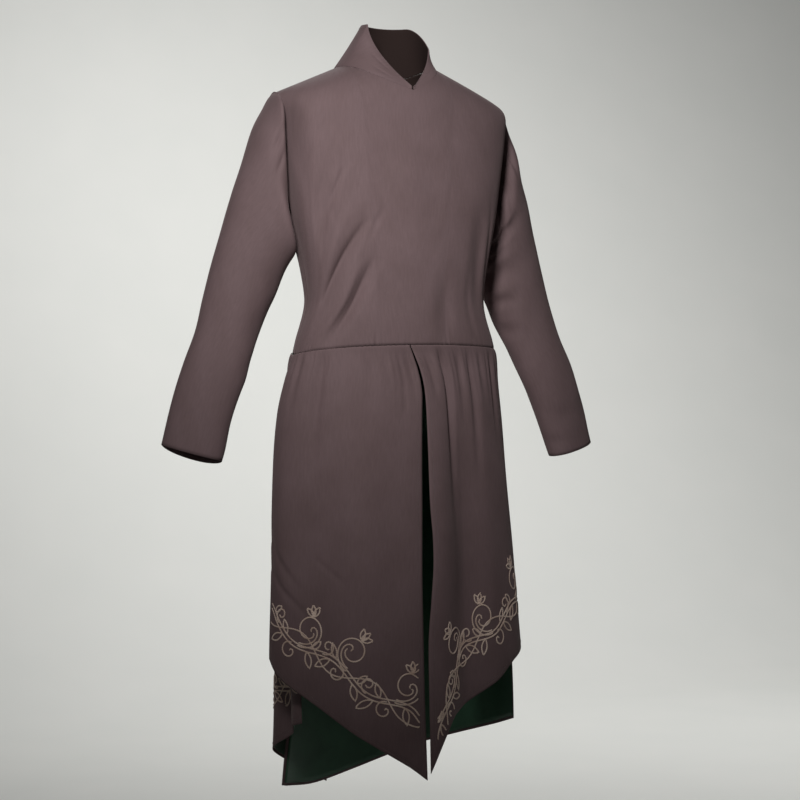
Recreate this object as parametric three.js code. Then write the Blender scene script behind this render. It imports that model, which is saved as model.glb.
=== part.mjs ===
// A knee-length costume tunic, worn shape with no wearer: stand collar open in a V, plain bodice,
// set-in sleeves, and four pointed, lined skirt panels gathered into a waist seam.
// Millimetres, +Z up. The front faces -Y and the wearer's left is +X. The origin is the middle
// of the neck, level with the point where the collar meets the shoulder.
import * as THREE from 'three';

// ---- driving dimensions ----
const CLOTH = 2.0;            // wall of one layer of outer cloth
const LINING = 1.0;           // wall of a skirt lining
const SEAM = 0.3;             // clearance between two pieces that are sewn together
const WAIST_Z = -495;         // height of the waist seam at the sides
const WAIST_ARCH = 11;        // how much higher the waist seam runs at the middle
const WAIST_TILT = 5;         // how much higher it runs at the left side, and lower at the right
const SHOULDER_Z = 2;         // height of the shoulder seam at the collar
const SHOULDER_SLOPE = 0.46;  // drop of the shoulder seam for each mm outwards
const SHOULDER_TILT = 1.5;    // how much lower the left shoulder tip is, and higher the right
const SHOULDER_X = 203;       // half the shoulder width, seam tip to seam tip
const UNDERARM_Z = -262;      // top of the side seam
const NECK_X = 86;            // where the shoulder seam has that height
const NECK_FRONT_Z = -52;     // bottom of the V
const NECK_BACK_Z = -12;      // back of the neckline
const ROUNDING_Z = -112;      // height where the chest starts to turn over the shoulder
const ROUNDNESS = 2.6;        // how late it turns: higher keeps the chest full for longer
const FALL = 300;             // drop below the waist over which the skirt reaches its full waves
const ARMHOLE_BLEND = 4.5;    // sleeve rows over which the cap eases out of the armhole's shape
const CUFF_DROP = 13;         // how much lower the right cuff hangs at the back than at the front

// ---- what differs between the two sides of the worn tunic ----
// neck: half width of the neckline, peak: height at which the collar's front edge turns round the
// neck, rise: share of the way back where it is highest
const RIGHT = { neck: 95, peak: 66, rise: 0.8 };
const LEFT = { neck: 78, peak: 24, rise: 0.6 };
const sideOf = (handed) => (handed < 0 ? RIGHT : LEFT);
// shape of an armhole and the clearance at its seam: a round one, and the right one, which the
// pose pulls into a scoop
const ARMHOLE = { power: 1.6, curve: 0.5, seam: SEAM };
const SCOOPED = { power: 1.3, curve: 1.3, seam: 1.1 };
const armholeOf = (handed) => (handed < 0 ? SCOOPED : ARMHOLE);
const CREASE = 16;            // how deep both cloths sink along the seam at the front of an armhole

// ---- top edge of the collar: an oval that leans forward over the neckline ----
const COLLAR_TOP = { half: 59, depth: 62, middle: -36 };
const COLLAR_BACK_Z = 77;     // height at the middle of the back
const COLLAR_PEAK_ANGLE = 77; // degrees from the front to the two peaks
const COLLAR_PEAK_AT = 0.42;  // share of the way from V to back at which the edge peaks
const COLLAR_HOLLOW = 1.25;   // how far the stand curves in between its two edges
const COLLAR_BOW = 1.6;       // how far the edges of the V bow outwards: 1 is straight
const COLLAR_END = 0.005;     // where its two ends stop, short of the bottom of the V

// ---- how the back panels tuck behind their neighbours ----
const UNDERLAP_TOP = 5.5;     // depth of the left one inside the right one at the waist
const UNDERLAP_SIDES = [0.12, 0.30]; // sides between which it comes out from behind
const WRAP_TOP = 9;           // depth of the right one inside the front panel, up high
const WRAP_LOW = 38;          // and at its hem
const WRAP_SIDES = [0.55, 0.86];     // sides between which it goes in

// ---- sections of the worn body, from the shoulder down to the waist ----
// z: height, half: half width, front and back: depth either side of the middle,
// middle: y of the widest line, power: roundness (1 round, 0.5 boxy)
const BODY = [
  { z: 60, half: 222, front: 134, back: 58, middle: 16, power: 0.50 },
  { z: -55, half: 218, front: 127, back: 74, middle: 8, power: 0.50 },
  { z: -100, half: 209, front: 121, back: 83, middle: 2, power: 0.52 },
  { z: -150, half: 201, front: 117, back: 89, middle: -6, power: 0.55 },
  { z: -262, half: 184, front: 108, back: 93, middle: -19, power: 0.62 },
  { z: -402, half: 160, front: 99, back: 84, middle: -30, power: 0.75 },
  { z: -478, half: 179, front: 98, back: 86, middle: -33, power: 0.80 },
  { z: -500, half: 184, front: 98, back: 88, middle: -33, power: 0.80 },
];

// ---- sections of the skirt, from the waist seam down; shift: how far it hangs to one side ----
const SKIRT = [
  { z: -480, half: 180, front: 98, back: 88, middle: -33, power: 0.80, shift: 0 },
  { z: -500, half: 187, front: 99, back: 89, middle: -31, power: 0.80, shift: 0 },
  { z: -543, half: 196, front: 108, back: 95, middle: -26, power: 0.82, shift: -4 },
  { z: -600, half: 206, front: 120, back: 100, middle: -21, power: 0.85, shift: -6 },
  { z: -700, half: 215, front: 131, back: 109, middle: -19, power: 0.88, shift: -5 },
  { z: -850, half: 223, front: 141, back: 125, middle: -25, power: 0.92, shift: -2 },
  { z: -1020, half: 231, front: 150, back: 148, middle: -37, power: 0.95, shift: 0 },
  { z: -1280, half: 233, front: 166, back: 188, middle: -46, power: 1.00, shift: 0 },
];

// ---- one sleeve, from the armhole to the cuff, for the wearer's left ----
// inX, inZ: the line that faces the body, outX, outZ: the line down the outside of the arm,
// y: middle of the arm, depth: half the thickness front to back, turn: degrees the flat of
// the sleeve is swung back on its outer side
const SLEEVE = [
  { inX: 184, inZ: -262, outX: 203, outZ: -50, y: -6, depth: 62, turn: 0 },
  { inX: 187, inZ: -268, outX: 210, outZ: -63, y: -2, depth: 62, turn: 2 },
  { inX: 188, inZ: -276, outX: 220, outZ: -89, y: 3, depth: 61, turn: 4 },
  { inX: 187, inZ: -287, outX: 238, outZ: -126, y: 8, depth: 60, turn: 5 },
  { inX: 185, inZ: -302, outX: 255, outZ: -172, y: 14, depth: 57, turn: 6 },
  { inX: 184, inZ: -322, outX: 274, outZ: -222, y: 19, depth: 54, turn: 7 },
  { inX: 187, inZ: -348, outX: 291, outZ: -282, y: 23, depth: 51, turn: 8 },
  { inX: 197, inZ: -382, outX: 310, outZ: -348, y: 24, depth: 48, turn: 8 },
  { inX: 215, inZ: -424, outX: 326, outZ: -408, y: 22, depth: 45, turn: 8 },
  { inX: 238, inZ: -474, outX: 341, outZ: -462, y: 15, depth: 42, turn: 9 },
  { inX: 262, inZ: -532, outX: 362, outZ: -514, y: 5, depth: 37, turn: 16 },
  { inX: 288, inZ: -597, outX: 382, outZ: -574, y: -1, depth: 32, turn: 21 },
  { inX: 313, inZ: -678, outX: 402, outZ: -652, y: -6, depth: 27, turn: 24 },
];
// folds that run round a sleeve: hand is 1 for the left one and -1 for the right one, at is the
// row, angle the middle in degrees from the outer line (90 is the front), reach and spread the
// half sizes, depth how far it sinks, or stands out if negative
const SLEEVE_FOLDS = [
  { hand: -1, at: 4.2, angle: 138, spread: 62, reach: 2.9, depth: -24 },
  { hand: -1, at: 8.4, angle: 150, spread: 60, reach: 1.0, depth: 4 },
  { hand: -1, at: 7.0, angle: 250, spread: 60, reach: 0.8, depth: 5 },
  { hand: 1, at: 4.6, angle: 130, spread: 60, reach: 0.6, depth: 8 },
  { hand: 1, at: 6.4, angle: 140, spread: 65, reach: 0.7, depth: 9 },
  { hand: 1, at: 7.6, angle: 250, spread: 60, reach: 0.8, depth: 5 },
  { hand: 1, at: 11.2, angle: 110, spread: 70, reach: 0.4, depth: 5 },
];

// ---- bodice folds: a trough between two points, or a ridge if its depth is negative ----
// each end is at (side, z) with side from -1 to 1, half is the half width
const FRONT_FOLDS = [
  { side0: -0.32, z0: -278, side1: -0.80, z1: -430, half: 0.06, depth: 9 },
  { side0: -0.30, z0: -343, side1: -0.60, z1: -480, half: 0.06, depth: 9 },
  { side0: -0.57, z0: -185, side1: -0.69, z1: -309, half: 0.07, depth: 7 },
  { side0: -0.72, z0: -110, side1: -0.78, z1: -230, half: 0.07, depth: 7 },
  { side0: -0.44, z0: -265, side1: -0.84, z1: -400, half: 0.05, depth: -4 },
  { side0: -0.42, z0: -350, side1: -0.72, z1: -475, half: 0.05, depth: -4 },
  { side0: 0.50, z0: -250, side1: 0.58, z1: -430, half: 0.08, depth: 7 },
  { side0: 0.22, z0: -380, side1: 0.20, z1: -478, half: 0.07, depth: 4 },
];
const BACK_FOLDS = [
  { side0: -0.30, z0: -220, side1: -0.66, z1: -430, half: 0.10, depth: 6 },
  { side0: 0.34, z0: -250, side1: 0.70, z1: -440, half: 0.10, depth: 6 },
  { side0: 0.02, z0: -300, side1: -0.04, z1: -470, half: 0.11, depth: 5 },
];

// ---- skirt panels: t runs across each from its free centre edge, 0, to its side edge, 1 ----
// edge: the side, -1 to 1, where the free edge hangs; seam: the side of the side edge at the
// waist; wrap: how far that edge swings on towards the front lower down; seamed: height down to
// which it keeps to the plane between front and back; under: depth of the tuck behind a neighbour
// hem: height of the hem; gathers and waves: troughs that sink in, or stand out if negative
const PANELS = {
  front_right: {
    face: 'front',
    edge: [
      { z: -486, side: -0.047 }, { z: -506, side: -0.018 }, { z: -526, side: 0.010 },
      { z: -548, side: 0.030 }, { z: -572, side: 0.038 }, { z: -744, side: 0.010 },
      { z: -909, side: -0.022 }, { z: -1072, side: -0.035 }, { z: -1200, side: -0.036 },
    ],
    seam: -1,
    hem: [
      { t: 0, z: -1203 }, { t: 0.10, z: -1177 }, { t: 0.5, z: -1096 },
      { t: 0.9, z: -1034 }, { t: 1, z: -1012 },
    ],
    gathers: [
      { t: 0.05, half: 0.050, depth: 5, end: -600 }, { t: 0.28, half: 0.060, depth: 3, end: -600 },
      { t: 0.45, half: 0.050, depth: 2, end: -560 }, { t: 0.62, half: 0.070, depth: 6, end: -780 },
      { t: 0.84, half: 0.060, depth: 4, end: -640 },
    ],
    waves: [{ t: 0.62, half: 0.20, depth: 10 }, { t: 0.30, half: 0.14, depth: -5 }],
    rows: 20,
    columns: 16,
  },
  front_left: {
    face: 'front',
    edge: [
      { z: -486, side: -0.040 }, { z: -506, side: -0.008 }, { z: -526, side: 0.020 },
      { z: -548, side: 0.038 }, { z: -572, side: 0.044 }, { z: -605, side: 0.041 },
      { z: -744, side: 0.014 }, { z: -841, side: 0.007 }, { z: -906, side: -0.014 },
      { z: -970, side: -0.036 }, { z: -1067, side: -0.046 }, { z: -1181, side: -0.051 },
    ],
    seam: 1,
    hem: [
      { t: 0, z: -1186 }, { t: 0.06, z: -1136 }, { t: 0.12, z: -1102 }, { t: 0.18, z: -1091 },
      { t: 0.42, z: -1054 }, { t: 0.62, z: -1022 }, { t: 1, z: -1000 },
    ],
    gathers: [
      { t: 0.07, half: 0.035, depth: 5, end: -600 }, { t: 0.175, half: 0.045, depth: 10, end: -860 },
      { t: 0.28, half: 0.040, depth: 5, end: -640 }, { t: 0.38, half: 0.045, depth: 7, end: -760 },
      { t: 0.48, half: 0.045, depth: 4, end: -600 }, { t: 0.62, half: 0.050, depth: 6, end: -680 },
      { t: 0.80, half: 0.050, depth: 5, end: -620 },
    ],
    waves: [{ t: 0.02, half: 0.16, depth: -34 }, { t: 0.26, half: 0.14, depth: 6 }],
    rows: 20,
    columns: 16,
  },
  back_right: {
    face: 'back',
    edge: [{ z: -478, side: 0.10 }, { z: -800, side: 0.04 }, { z: -1280, side: -0.19 }],
    seam: -1,
    wrap: -0.17,
    seamed: -560,
    hem: [{ t: 0, z: -1263 }, { t: 0.6, z: -1158 }, { t: 0.8, z: -1131 }, { t: 1, z: -1118 }],
    gathers: [
      { t: 0.30, half: 0.060, depth: 6, end: -700 }, { t: 0.52, half: 0.060, depth: 7, end: -760 },
      { t: 0.76, half: 0.060, depth: 6, end: -680 },
    ],
    waves: [{ t: 0.40, half: 0.20, depth: -8 }, { t: 0.70, half: 0.14, depth: 8 }],
    rows: 16,
    columns: 12,
  },
  back_left: {
    face: 'back',
    edge: [
      { z: -478, side: -0.12 }, { z: -700, side: -0.24 }, { z: -1000, side: -0.46 },
      { z: -1280, side: -0.64 },
    ],
    seam: 1,
    under: 16,
    hem: [
      { t: 0, z: -1246 }, { t: 0.05, z: -1251 }, { t: 0.20, z: -1258 }, { t: 0.35, z: -1242 },
      { t: 0.55, z: -1204 }, { t: 0.9, z: -1155 }, { t: 1, z: -1142 },
    ],
    gathers: [
      { t: 0.30, half: 0.050, depth: 6, end: -760 }, { t: 0.52, half: 0.060, depth: 7, end: -700 },
      { t: 0.76, half: 0.060, depth: 6, end: -680 },
    ],
    waves: [{ t: 0.62, half: 0.20, depth: 10 }, { t: 0.98, half: 0.14, depth: 7 }],
    rows: 16,
    columns: 12,
  },
};
// ---- small helpers ----
const clamp = THREE.MathUtils.clamp;
const smooth = THREE.MathUtils.smoothstep;
const vec = (x, y, z) => new THREE.Vector3(x, y, z);
const signedPower = (v, p) => Math.sign(v) * Math.abs(v) ** p;

// value of a column of a table, eased between rows; the key column rises or falls
function lookup(table, key, at, column) {
  const falls = table[0][key] > table[table.length - 1][key];
  const rows = falls ? [...table].reverse() : table;
  if (at <= rows[0][key]) return rows[0][column];
  const last = rows.length - 1;
  if (at >= rows[last][key]) return rows[last][column];
  const i = rows.findIndex((row) => row[key] > at) - 1;
  const slope = (k) => {
    const lo = rows[Math.max(k - 1, 0)];
    const hi = rows[Math.min(k + 1, last)];
    return (hi[column] - lo[column]) / (hi[key] - lo[key]);
  };
  const width = rows[i + 1][key] - rows[i][key];
  const u = (at - rows[i][key]) / width;
  const a = rows[i][column];
  const b = rows[i + 1][column];
  const bulge = u * (1 - u) * width;
  return a + (b - a) * (3 * u * u - 2 * u ** 3) + bulge * ((1 - u) * slope(i) - u * slope(i + 1));
}

// a rounded bump: 1 at 0 and 0 beyond 1
const bump = (d) => (Math.abs(d) < 1 ? Math.cos(d * Math.PI / 2) ** 2 : 0);

// point on a section: side -1 to 1 runs from the wearer's right side seam to the left one
function onSection(table, face, side, z, grow = 0) {
  const angle = side * Math.PI / 2;
  const half = lookup(table, 'z', z, 'half') + grow;
  const depth = lookup(table, 'z', z, face) + grow;
  const power = lookup(table, 'z', z, 'power');
  const towards = face === 'front' ? -1 : 1;
  const y = lookup(table, 'z', z, 'middle') + towards * depth * signedPower(Math.cos(angle), power);
  const shift = table === SKIRT ? lookup(table, 'z', z, 'shift') : 0;
  return vec(half * Math.sin(angle) + shift, y, z);
}

// a closed wall from a grid of outer points, moved by inset..inset + thickness along the inward
// normals; a ring wraps round its columns, the level rows keep their height, and trim holds
// the moved points on their own side of a seam
function wall(name, points, thickness, colour, options = {}) {
  const { inset = 0, ring = false, flip = false, level = [], trim = (p) => p } = options;
  const rows = points.length;
  const columns = points[0].length;
  const at = (i, j) => points[clamp(i, 0, rows - 1)][ring ? (j + columns) % columns : clamp(j, 0, columns - 1)];
  const normal = (i, j) => {
    const down = at(i + 1, j).clone().sub(at(i - 1, j));
    const across = at(i, j + 1).clone().sub(at(i, j - 1));
    const out = down.cross(across);
    if (level.includes(i)) out.z = 0;
    return out.normalize().multiplyScalar(flip ? -1 : 1);
  };
  const position = [];
  for (const offset of [inset, inset + thickness]) {
    for (let i = 0; i < rows; i++) {
      for (let j = 0; j < columns; j++) {
        const p = trim(at(i, j).clone().addScaledVector(normal(i, j), -offset), i, j);
        position.push(p.x, p.y, p.z);
      }
    }
  }
  const layer = rows * columns;
  const index = [];
  const quad = (a, b, c, d) => (flip ? index.push(a, c, b, a, d, c) : index.push(a, b, c, a, c, d));
  const lastColumn = ring ? columns : columns - 1;
  for (let i = 0; i < rows - 1; i++) {
    for (let j = 0; j < lastColumn; j++) {
      const k = (j + 1) % columns;
      const [a, b, c, d] = [i * columns + j, (i + 1) * columns + j, (i + 1) * columns + k, i * columns + k];
      quad(a, b, c, d);
      quad(a + layer, d + layer, c + layer, b + layer);
    }
  }
  for (let j = 0; j < lastColumn; j++) {
    const k = (j + 1) % columns;
    const low = (rows - 1) * columns;
    quad(j, k, k + layer, j + layer);
    quad(low + j, low + j + layer, low + k + layer, low + k);
  }
  for (let i = 0; i < rows - 1 && !ring; i++) {
    const right = i * columns + columns - 1;
    quad(i * columns, i * columns + layer, (i + 1) * columns + layer, (i + 1) * columns);
    quad(right, right + columns, right + columns + layer, right + layer);
  }
  const geometry = new THREE.BufferGeometry();
  geometry.setAttribute('position', new THREE.Float32BufferAttribute(position, 3));
  geometry.setIndex(index);
  geometry.computeVertexNormals();
  const material = new THREE.MeshStandardMaterial({ color: colour, roughness: 0.9, metalness: 0 });
  const mesh = new THREE.Mesh(geometry, material);
  mesh.name = name;
  return mesh;
}

const OUTER = '#5f4f4f';
const GREEN = '#18291c';

// ---- bodice ----
const tilt = (x) => -SHOULDER_TILT * x / SHOULDER_X;
const shoulderZ = (x) => SHOULDER_Z + tilt(x) - SHOULDER_SLOPE * (Math.abs(x) - NECK_X);
const waistZ = (side) => WAIST_Z + WAIST_ARCH * Math.cos(side * Math.PI / 2) + WAIST_TILT * side;

// depth of the folds that cross (side, z)
function foldDepth(folds, side, z) {
  let sum = 0;
  for (const f of folds) {
    const u = clamp((z - f.z0) / (f.z1 - f.z0), 0, 1);
    const along = bump(clamp((z - (f.z0 + f.z1) / 2) / ((f.z0 - f.z1) / 2 + 40), -1, 1));
    sum += f.depth * along * bump((side - (f.side0 + (f.side1 - f.side0) * u)) / (f.half * 1.6));
  }
  return sum;
}

// a point of the bodice; near the shoulder the depth closes over to the seam
function bodicePoint(face, side, z) {
  const p = onSection(BODY, face, side, z);
  const top = shoulderZ(p.x);
  const t = clamp((z - ROUNDING_Z) / (top - ROUNDING_Z), 0, 1);
  const middle = lookup(BODY, 'z', z, 'middle');
  const sink = foldDepth(face === 'front' ? FRONT_FOLDS : BACK_FOLDS, side, z);
  const depth = (p.y - middle) * Math.sqrt(Math.max(1 - t ** ROUNDNESS, 0));
  const inward = sink * (face === 'front' ? 1 : -1) * Math.sqrt(Math.max(1 - t, 0));
  p.y = middle + depth + inward;
  return p;
}

// sides where the neckline and the armhole meet the shoulder seam
const sideAt = (x) => Math.asin(x / lookup(BODY, 'z', shoulderZ(x), 'half')) / (Math.PI / 2);
const neckSide = (handed) => Math.abs(sideAt(handed * sideOf(handed).neck));
const TIP_SIDE = sideAt(SHOULDER_X);

// height of the top edge of a bodice panel at a side
function topZ(face, side) {
  const s = Math.abs(side);
  const handed = side < 0 ? -1 : 1;
  const { neck } = sideOf(handed);
  if (s <= neckSide(handed)) {
    const low = face === 'front' ? NECK_FRONT_Z : NECK_BACK_Z;
    const u = s / neckSide(handed);
    const rise = face === 'front' ? 0.75 * u + 0.25 * u ** 4 : u * u;
    return low + (shoulderZ(handed * neck) - low) * rise;
  }
  const half = lookup(BODY, 'z', -100, 'half');
  if (s <= TIP_SIDE) {
    let z = shoulderZ(side * half);
    for (let k = 0; k < 6; k++) z = shoulderZ(lookup(BODY, 'z', z, 'half') * Math.sin(side * Math.PI / 2));
    return z;
  }
  const u = (s - TIP_SIDE) / (1 - TIP_SIDE);
  const tipZ = shoulderZ(handed * SHOULDER_X);
  const { power, curve } = armholeOf(handed);
  return tipZ + (UNDERARM_Z - tipZ) * (u < 1 ? 1 - (1 - u ** power) ** curve : 1);
}

// how far the crease of the armhole sinks at a point of the seam: nothing at its two ends
function creaseDepth(z, handed) {
  const tipZ = shoulderZ(handed * SHOULDER_X);
  const drop = clamp((tipZ - z) / (tipZ - UNDERARM_Z), 0, 1);
  return CREASE * (2 * Math.sqrt(drop * (1 - drop))) ** 0.6;
}

// sides where the columns of a bodice panel stand: round the neck, along the shoulder seam and
// down the armhole; the collar and the sleeves are cut at the same points
const NECK_MARKS = [0, 0.25, 0.5, 0.7, 0.86, 1];
const ARM_STEPS = 8;
const SHOULDER_STEPS = 6;

function armSide(step, handed) {
  const { power, curve } = armholeOf(handed);
  const drop = 0.5 - 0.5 * Math.cos(step / ARM_STEPS * Math.PI);
  const u = (1 - (1 - drop) ** (1 / curve)) ** (1 / power);
  return TIP_SIDE + (1 - TIP_SIDE) * u;
}

function bodiceSides(handed) {
  const neck = neckSide(handed);
  const sides = NECK_MARKS.map((mark) => mark * neck);
  for (let k = 1; k <= SHOULDER_STEPS; k++) sides.push(neck + (TIP_SIDE - neck) * k / SHOULDER_STEPS);
  for (let k = 1; k <= ARM_STEPS; k++) sides.push(armSide(k, handed));
  return sides;
}

function bodice(name, face, rowCount) {
  const sides = [...bodiceSides(-1).slice(1).reverse().map((s) => -s), ...bodiceSides(1)];
  const towards = face === 'front' ? -1 : 1;
  const rows = [];
  for (let i = 0; i < rowCount; i++) {
    const v = i / (rowCount - 1);
    rows.push(sides.map((side) => {
      const top = topZ(face, side);
      const low = waistZ(side) + SEAM / 2;
      const z = top + (low - top) * (0.35 * v + 0.65 * v ** 1.5); // closer rows near the shoulder
      const p = bodicePoint(face, side, z);
      p.y += towards * SEAM / 2;
      if (i === 0 && face === 'front' && Math.abs(side) > TIP_SIDE) p.y += creaseDepth(z, Math.sign(side));
      return p;
    }));
  }
  // the shoulder and side seams lie in the upright surface through the widest line
  const trim = (p) => {
    const seam = lookup(BODY, 'z', p.z, 'middle') + towards * SEAM / 2;
    p.y = towards * Math.max(towards * p.y, towards * seam);
    return p;
  };
  return wall(name, rows, CLOTH, OUTER, { flip: face === 'back', level: [rowCount - 1], trim });
}

// ---- sleeves ----
const SLEEVE_ROWS = SLEEVE.map((row, k) => ({ ...row, k }));
const SLEEVE_WIDTH = 60;      // mean half width, to turn the depth of a fold into a scale

function sleevePoint(row, angle, handed) {
  const at = (column) => lookup(SLEEVE_ROWS, 'k', row, column);
  const turn = THREE.MathUtils.degToRad(at('turn'));
  const middle = vec((at('inX') + at('outX')) / 2, at('y'), (at('inZ') + at('outZ')) / 2);
  const broad = vec((at('outX') - at('inX')) / 2, 0, (at('outZ') - at('inZ')) / 2);
  broad.y = broad.x * Math.tan(turn);
  const narrow = vec(Math.sin(turn), -Math.cos(turn), 0).multiplyScalar(at('depth'));
  let sink = 0;
  const degrees = THREE.MathUtils.radToDeg(angle);
  for (const f of SLEEVE_FOLDS.filter((fold) => fold.hand === handed)) {
    sink += f.depth * bump((row - f.at) / f.reach) * bump((degrees - f.angle) / f.spread);
  }
  const scale = 1 - sink / SLEEVE_WIDTH;
  const p = middle.clone();
  p.addScaledVector(broad, signedPower(Math.cos(angle), 0.95) * scale);
  p.addScaledVector(narrow, signedPower(Math.sin(angle), 0.95) * scale);
  if (handed < 0) p.z -= CUFF_DROP * Math.max(0, -Math.sin(angle)) * smooth(row, 9, SLEEVE.length - 1);
  p.x *= handed;
  return p;
}

// the armhole edge of the bodice: step 0 is the shoulder tip, ARM_STEPS the underarm
function armholePoint(step, handed) {
  const front = step <= ARM_STEPS;
  const face = front ? 'front' : 'back';
  const side = handed * armSide(front ? step : 2 * ARM_STEPS - step, handed);
  const p = bodicePoint(face, side, topZ(face, side));
  if (step % ARM_STEPS) p.y += (front ? -1 : 1) * SEAM / 2;
  p.x += handed * armholeOf(handed).seam;
  return p;
}

function sleeve(name, handed) {
  const rows = [];
  const steps = 18;
  for (let i = 0; i <= steps; i++) {
    const row = (i / steps) * (SLEEVE.length - 1);
    const ring = [];
    for (let j = 0; j < 2 * ARM_STEPS; j++) {
      const angle = (j / ARM_STEPS) * Math.PI;
      const sewn = armholePoint(j, handed);
      const start = sleevePoint(0, angle, handed);
      const shift = sewn.sub(start).multiplyScalar(1 - smooth(row, 0, ARMHOLE_BLEND));
      const p = sleevePoint(row, angle, handed).add(shift);
      if (i === 0 && j < ARM_STEPS) p.y += creaseDepth(p.z, handed);
      ring.push(p);
    }
    rows.push(ring);
  }
  const trim = (p, i, j) => {
    if (i === 0) p.x = rows[0][j].x;
    return p;
  };
  return wall(name, rows, CLOTH, OUTER, { ring: true, flip: handed < 0, trim });
}

// ---- collar ----
// the neckline as a curve, from the bottom of the V round the wearer's left and the back to the V
function necklinePoint(t) {
  const handed = t < 0.5 ? 1 : -1;
  const u = 2 * Math.min(t, 1 - t);
  const face = u < 0.5 ? 'front' : 'back';
  const side = handed * neckSide(handed) * Math.sin(u * Math.PI);
  return bodicePoint(face, side, topZ(face, side));
}

// the top edge: up the edge of the V to its peak, then round the back
function collarTopPoint(t) {
  const handed = t < 0.5 ? 1 : -1;
  const u = 2 * Math.min(t, 1 - t);
  const { peak, rise } = sideOf(handed);
  const round = clamp((u - COLLAR_PEAK_AT) / (1 - COLLAR_PEAK_AT), 0, 1);
  const angle = THREE.MathUtils.degToRad(COLLAR_PEAK_ANGLE + (180 - COLLAR_PEAK_ANGLE) * round);
  const top = vec(
    handed * COLLAR_TOP.half * Math.sin(angle),
    COLLAR_TOP.middle - COLLAR_TOP.depth * Math.cos(angle),
    peak + (COLLAR_BACK_Z - peak) * smooth(round, -0.2, rise),
  );
  if (u >= COLLAR_PEAK_AT) return top;
  const start = COLLAR_END / 3;
  const bottom = necklinePoint(t < 0.5 ? start : 1 - start).add(vec(0, -1, 5));
  const share = u / COLLAR_PEAK_AT;
  const z = THREE.MathUtils.lerp(bottom.z, top.z, share);
  return bottom.lerp(top, 1 - (1 - share) ** COLLAR_BOW).setZ(z);
}

function collar(name) {
  const turns = NECK_MARKS.map((mark) => Math.asin(mark) / Math.PI);
  const half = [...turns, ...turns.slice(0, -1).reverse().map((u) => 1 - u)];
  half[0] = COLLAR_END;
  const round = [...half.map((u) => u / 2), ...half.slice(0, -1).reverse().map((u) => 1 - u / 2)];
  const rows = [];
  for (let i = 0; i <= 4; i++) {
    const v = 1 - i / 4;
    const ring = [];
    for (const t of round) {
      const base = necklinePoint(t).add(vec(0, 0, SEAM));
      const top = collarTopPoint(t);
      const p = base.clone().lerp(top, v);
      const hollow = COLLAR_HOLLOW * 4 * v * (1 - v) * smooth(2 * Math.min(t, 1 - t), 0.1, 0.5);
      const out = vec(base.x, base.y - COLLAR_TOP.middle, 0).normalize();
      ring.push(p.addScaledVector(out, -hollow));
    }
    rows.push(ring);
  }
  return wall(name, rows, CLOTH, OUTER, { level: [4] });
}

// ---- skirt ----
function panelPoint(panel, t, z) {
  const free = lookup(panel.edge, 'z', z, 'side');
  const fall = clamp((WAIST_Z - z) / FALL, 0, 1);
  const seam = panel.seam + (panel.wrap ?? 0) * smooth(fall, 0.25, 1);
  const side = THREE.MathUtils.lerp(free, seam, t);
  let sink = 0;
  for (const g of panel.gathers) {
    const fade = 1 - smooth(-z, -WAIST_Z, -g.end);
    sink += g.depth * fade * bump((t - g.t) / g.half) * smooth(WAIST_Z - z, -14, 30);
  }
  for (const w of panel.waves) sink += w.depth * fall * bump((t - w.t) / (w.half * 1.4));
  if (panel.under) {
    const under = UNDERLAP_TOP + (panel.under - UNDERLAP_TOP) * smooth(fall, 0, 0.15);
    sink += under * (1 - smooth(side, ...UNDERLAP_SIDES));
  }
  if (panel.wrap) {
    const inset = WRAP_TOP * smooth(fall, 0.02, 0.2) + (WRAP_LOW - WRAP_TOP) * smooth(-z, 800, 1100);
    sink += inset * smooth(-side, ...WRAP_SIDES);
  }
  return onSection(SKIRT, panel.face, side, z, -sink);
}

function panelGrid(panel) {
  const rows = [];
  for (let i = 0; i <= panel.rows; i++) {
    const v = (i / panel.rows) ** 1.25;
    const row = [];
    for (let j = 0; j <= panel.columns; j++) {
      const t = j / panel.columns;
      const side = THREE.MathUtils.lerp(panel.edge[0].side, panel.seam, t);
      const top = waistZ(side) - SEAM / 2;
      const z = top + (lookup(panel.hem, 't', t, 'z') - top) * v;
      const p = panelPoint(panel, t, z);
      p.y += panel.face === 'front' ? -SEAM / 2 : SEAM / 2;
      row.push(p);
    }
    rows.push(row);
  }
  return rows;
}

function skirt(key) {
  const panel = PANELS[key];
  const grid = panelGrid(panel);
  const flip = (panel.face === 'front') !== (panel.seam > 0);
  const towards = panel.face === 'front' ? -1 : 1;
  // the side edges of neighbouring panels stay either side of the upright surface between them
  const trim = (p) => {
    if (p.z < panel.seamed) return p;
    const seam = lookup(SKIRT, 'z', p.z, 'middle') + towards * SEAM / 2;
    p.y = towards * Math.max(towards * p.y, towards * seam);
    return p;
  };
  const fit = { flip, trim, level: [0] };
  return [
    wall(`skirt_${key}`, grid, CLOTH, OUTER, fit),
    wall(`skirt_${key}_lining`, grid, LINING, GREEN, { ...fit, inset: CLOTH + SEAM }),
  ];
}

// ---- the tunic ----
const tunic = new THREE.Group();
tunic.add(bodice('bodice_front', 'front', 16));
tunic.add(bodice('bodice_back', 'back', 13));
tunic.add(collar('collar'));
tunic.add(sleeve('sleeve_left', 1));
tunic.add(sleeve('sleeve_right', -1));
for (const key of Object.keys(PANELS)) tunic.add(...skirt(key));

export default tunic;
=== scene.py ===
# %% [markdown]
# # Dressing a long embroidered tunic
# The solids that come with the frame are the main shapes of a worn tunic with nobody in it. This
# lesson lays a fine sheet of cloth over each of them, adds the small folds, the seams, the lining
# and the stitched vine, and then lights the tunic as in a studio.
# Lengths are in millimetres inside the helpers and turn to metres where a mesh is made.

# %% Load the frame and note its box
import math
import random

import bmesh
import bpy
import numpy as np
from mathutils import Matrix, Vector


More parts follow.
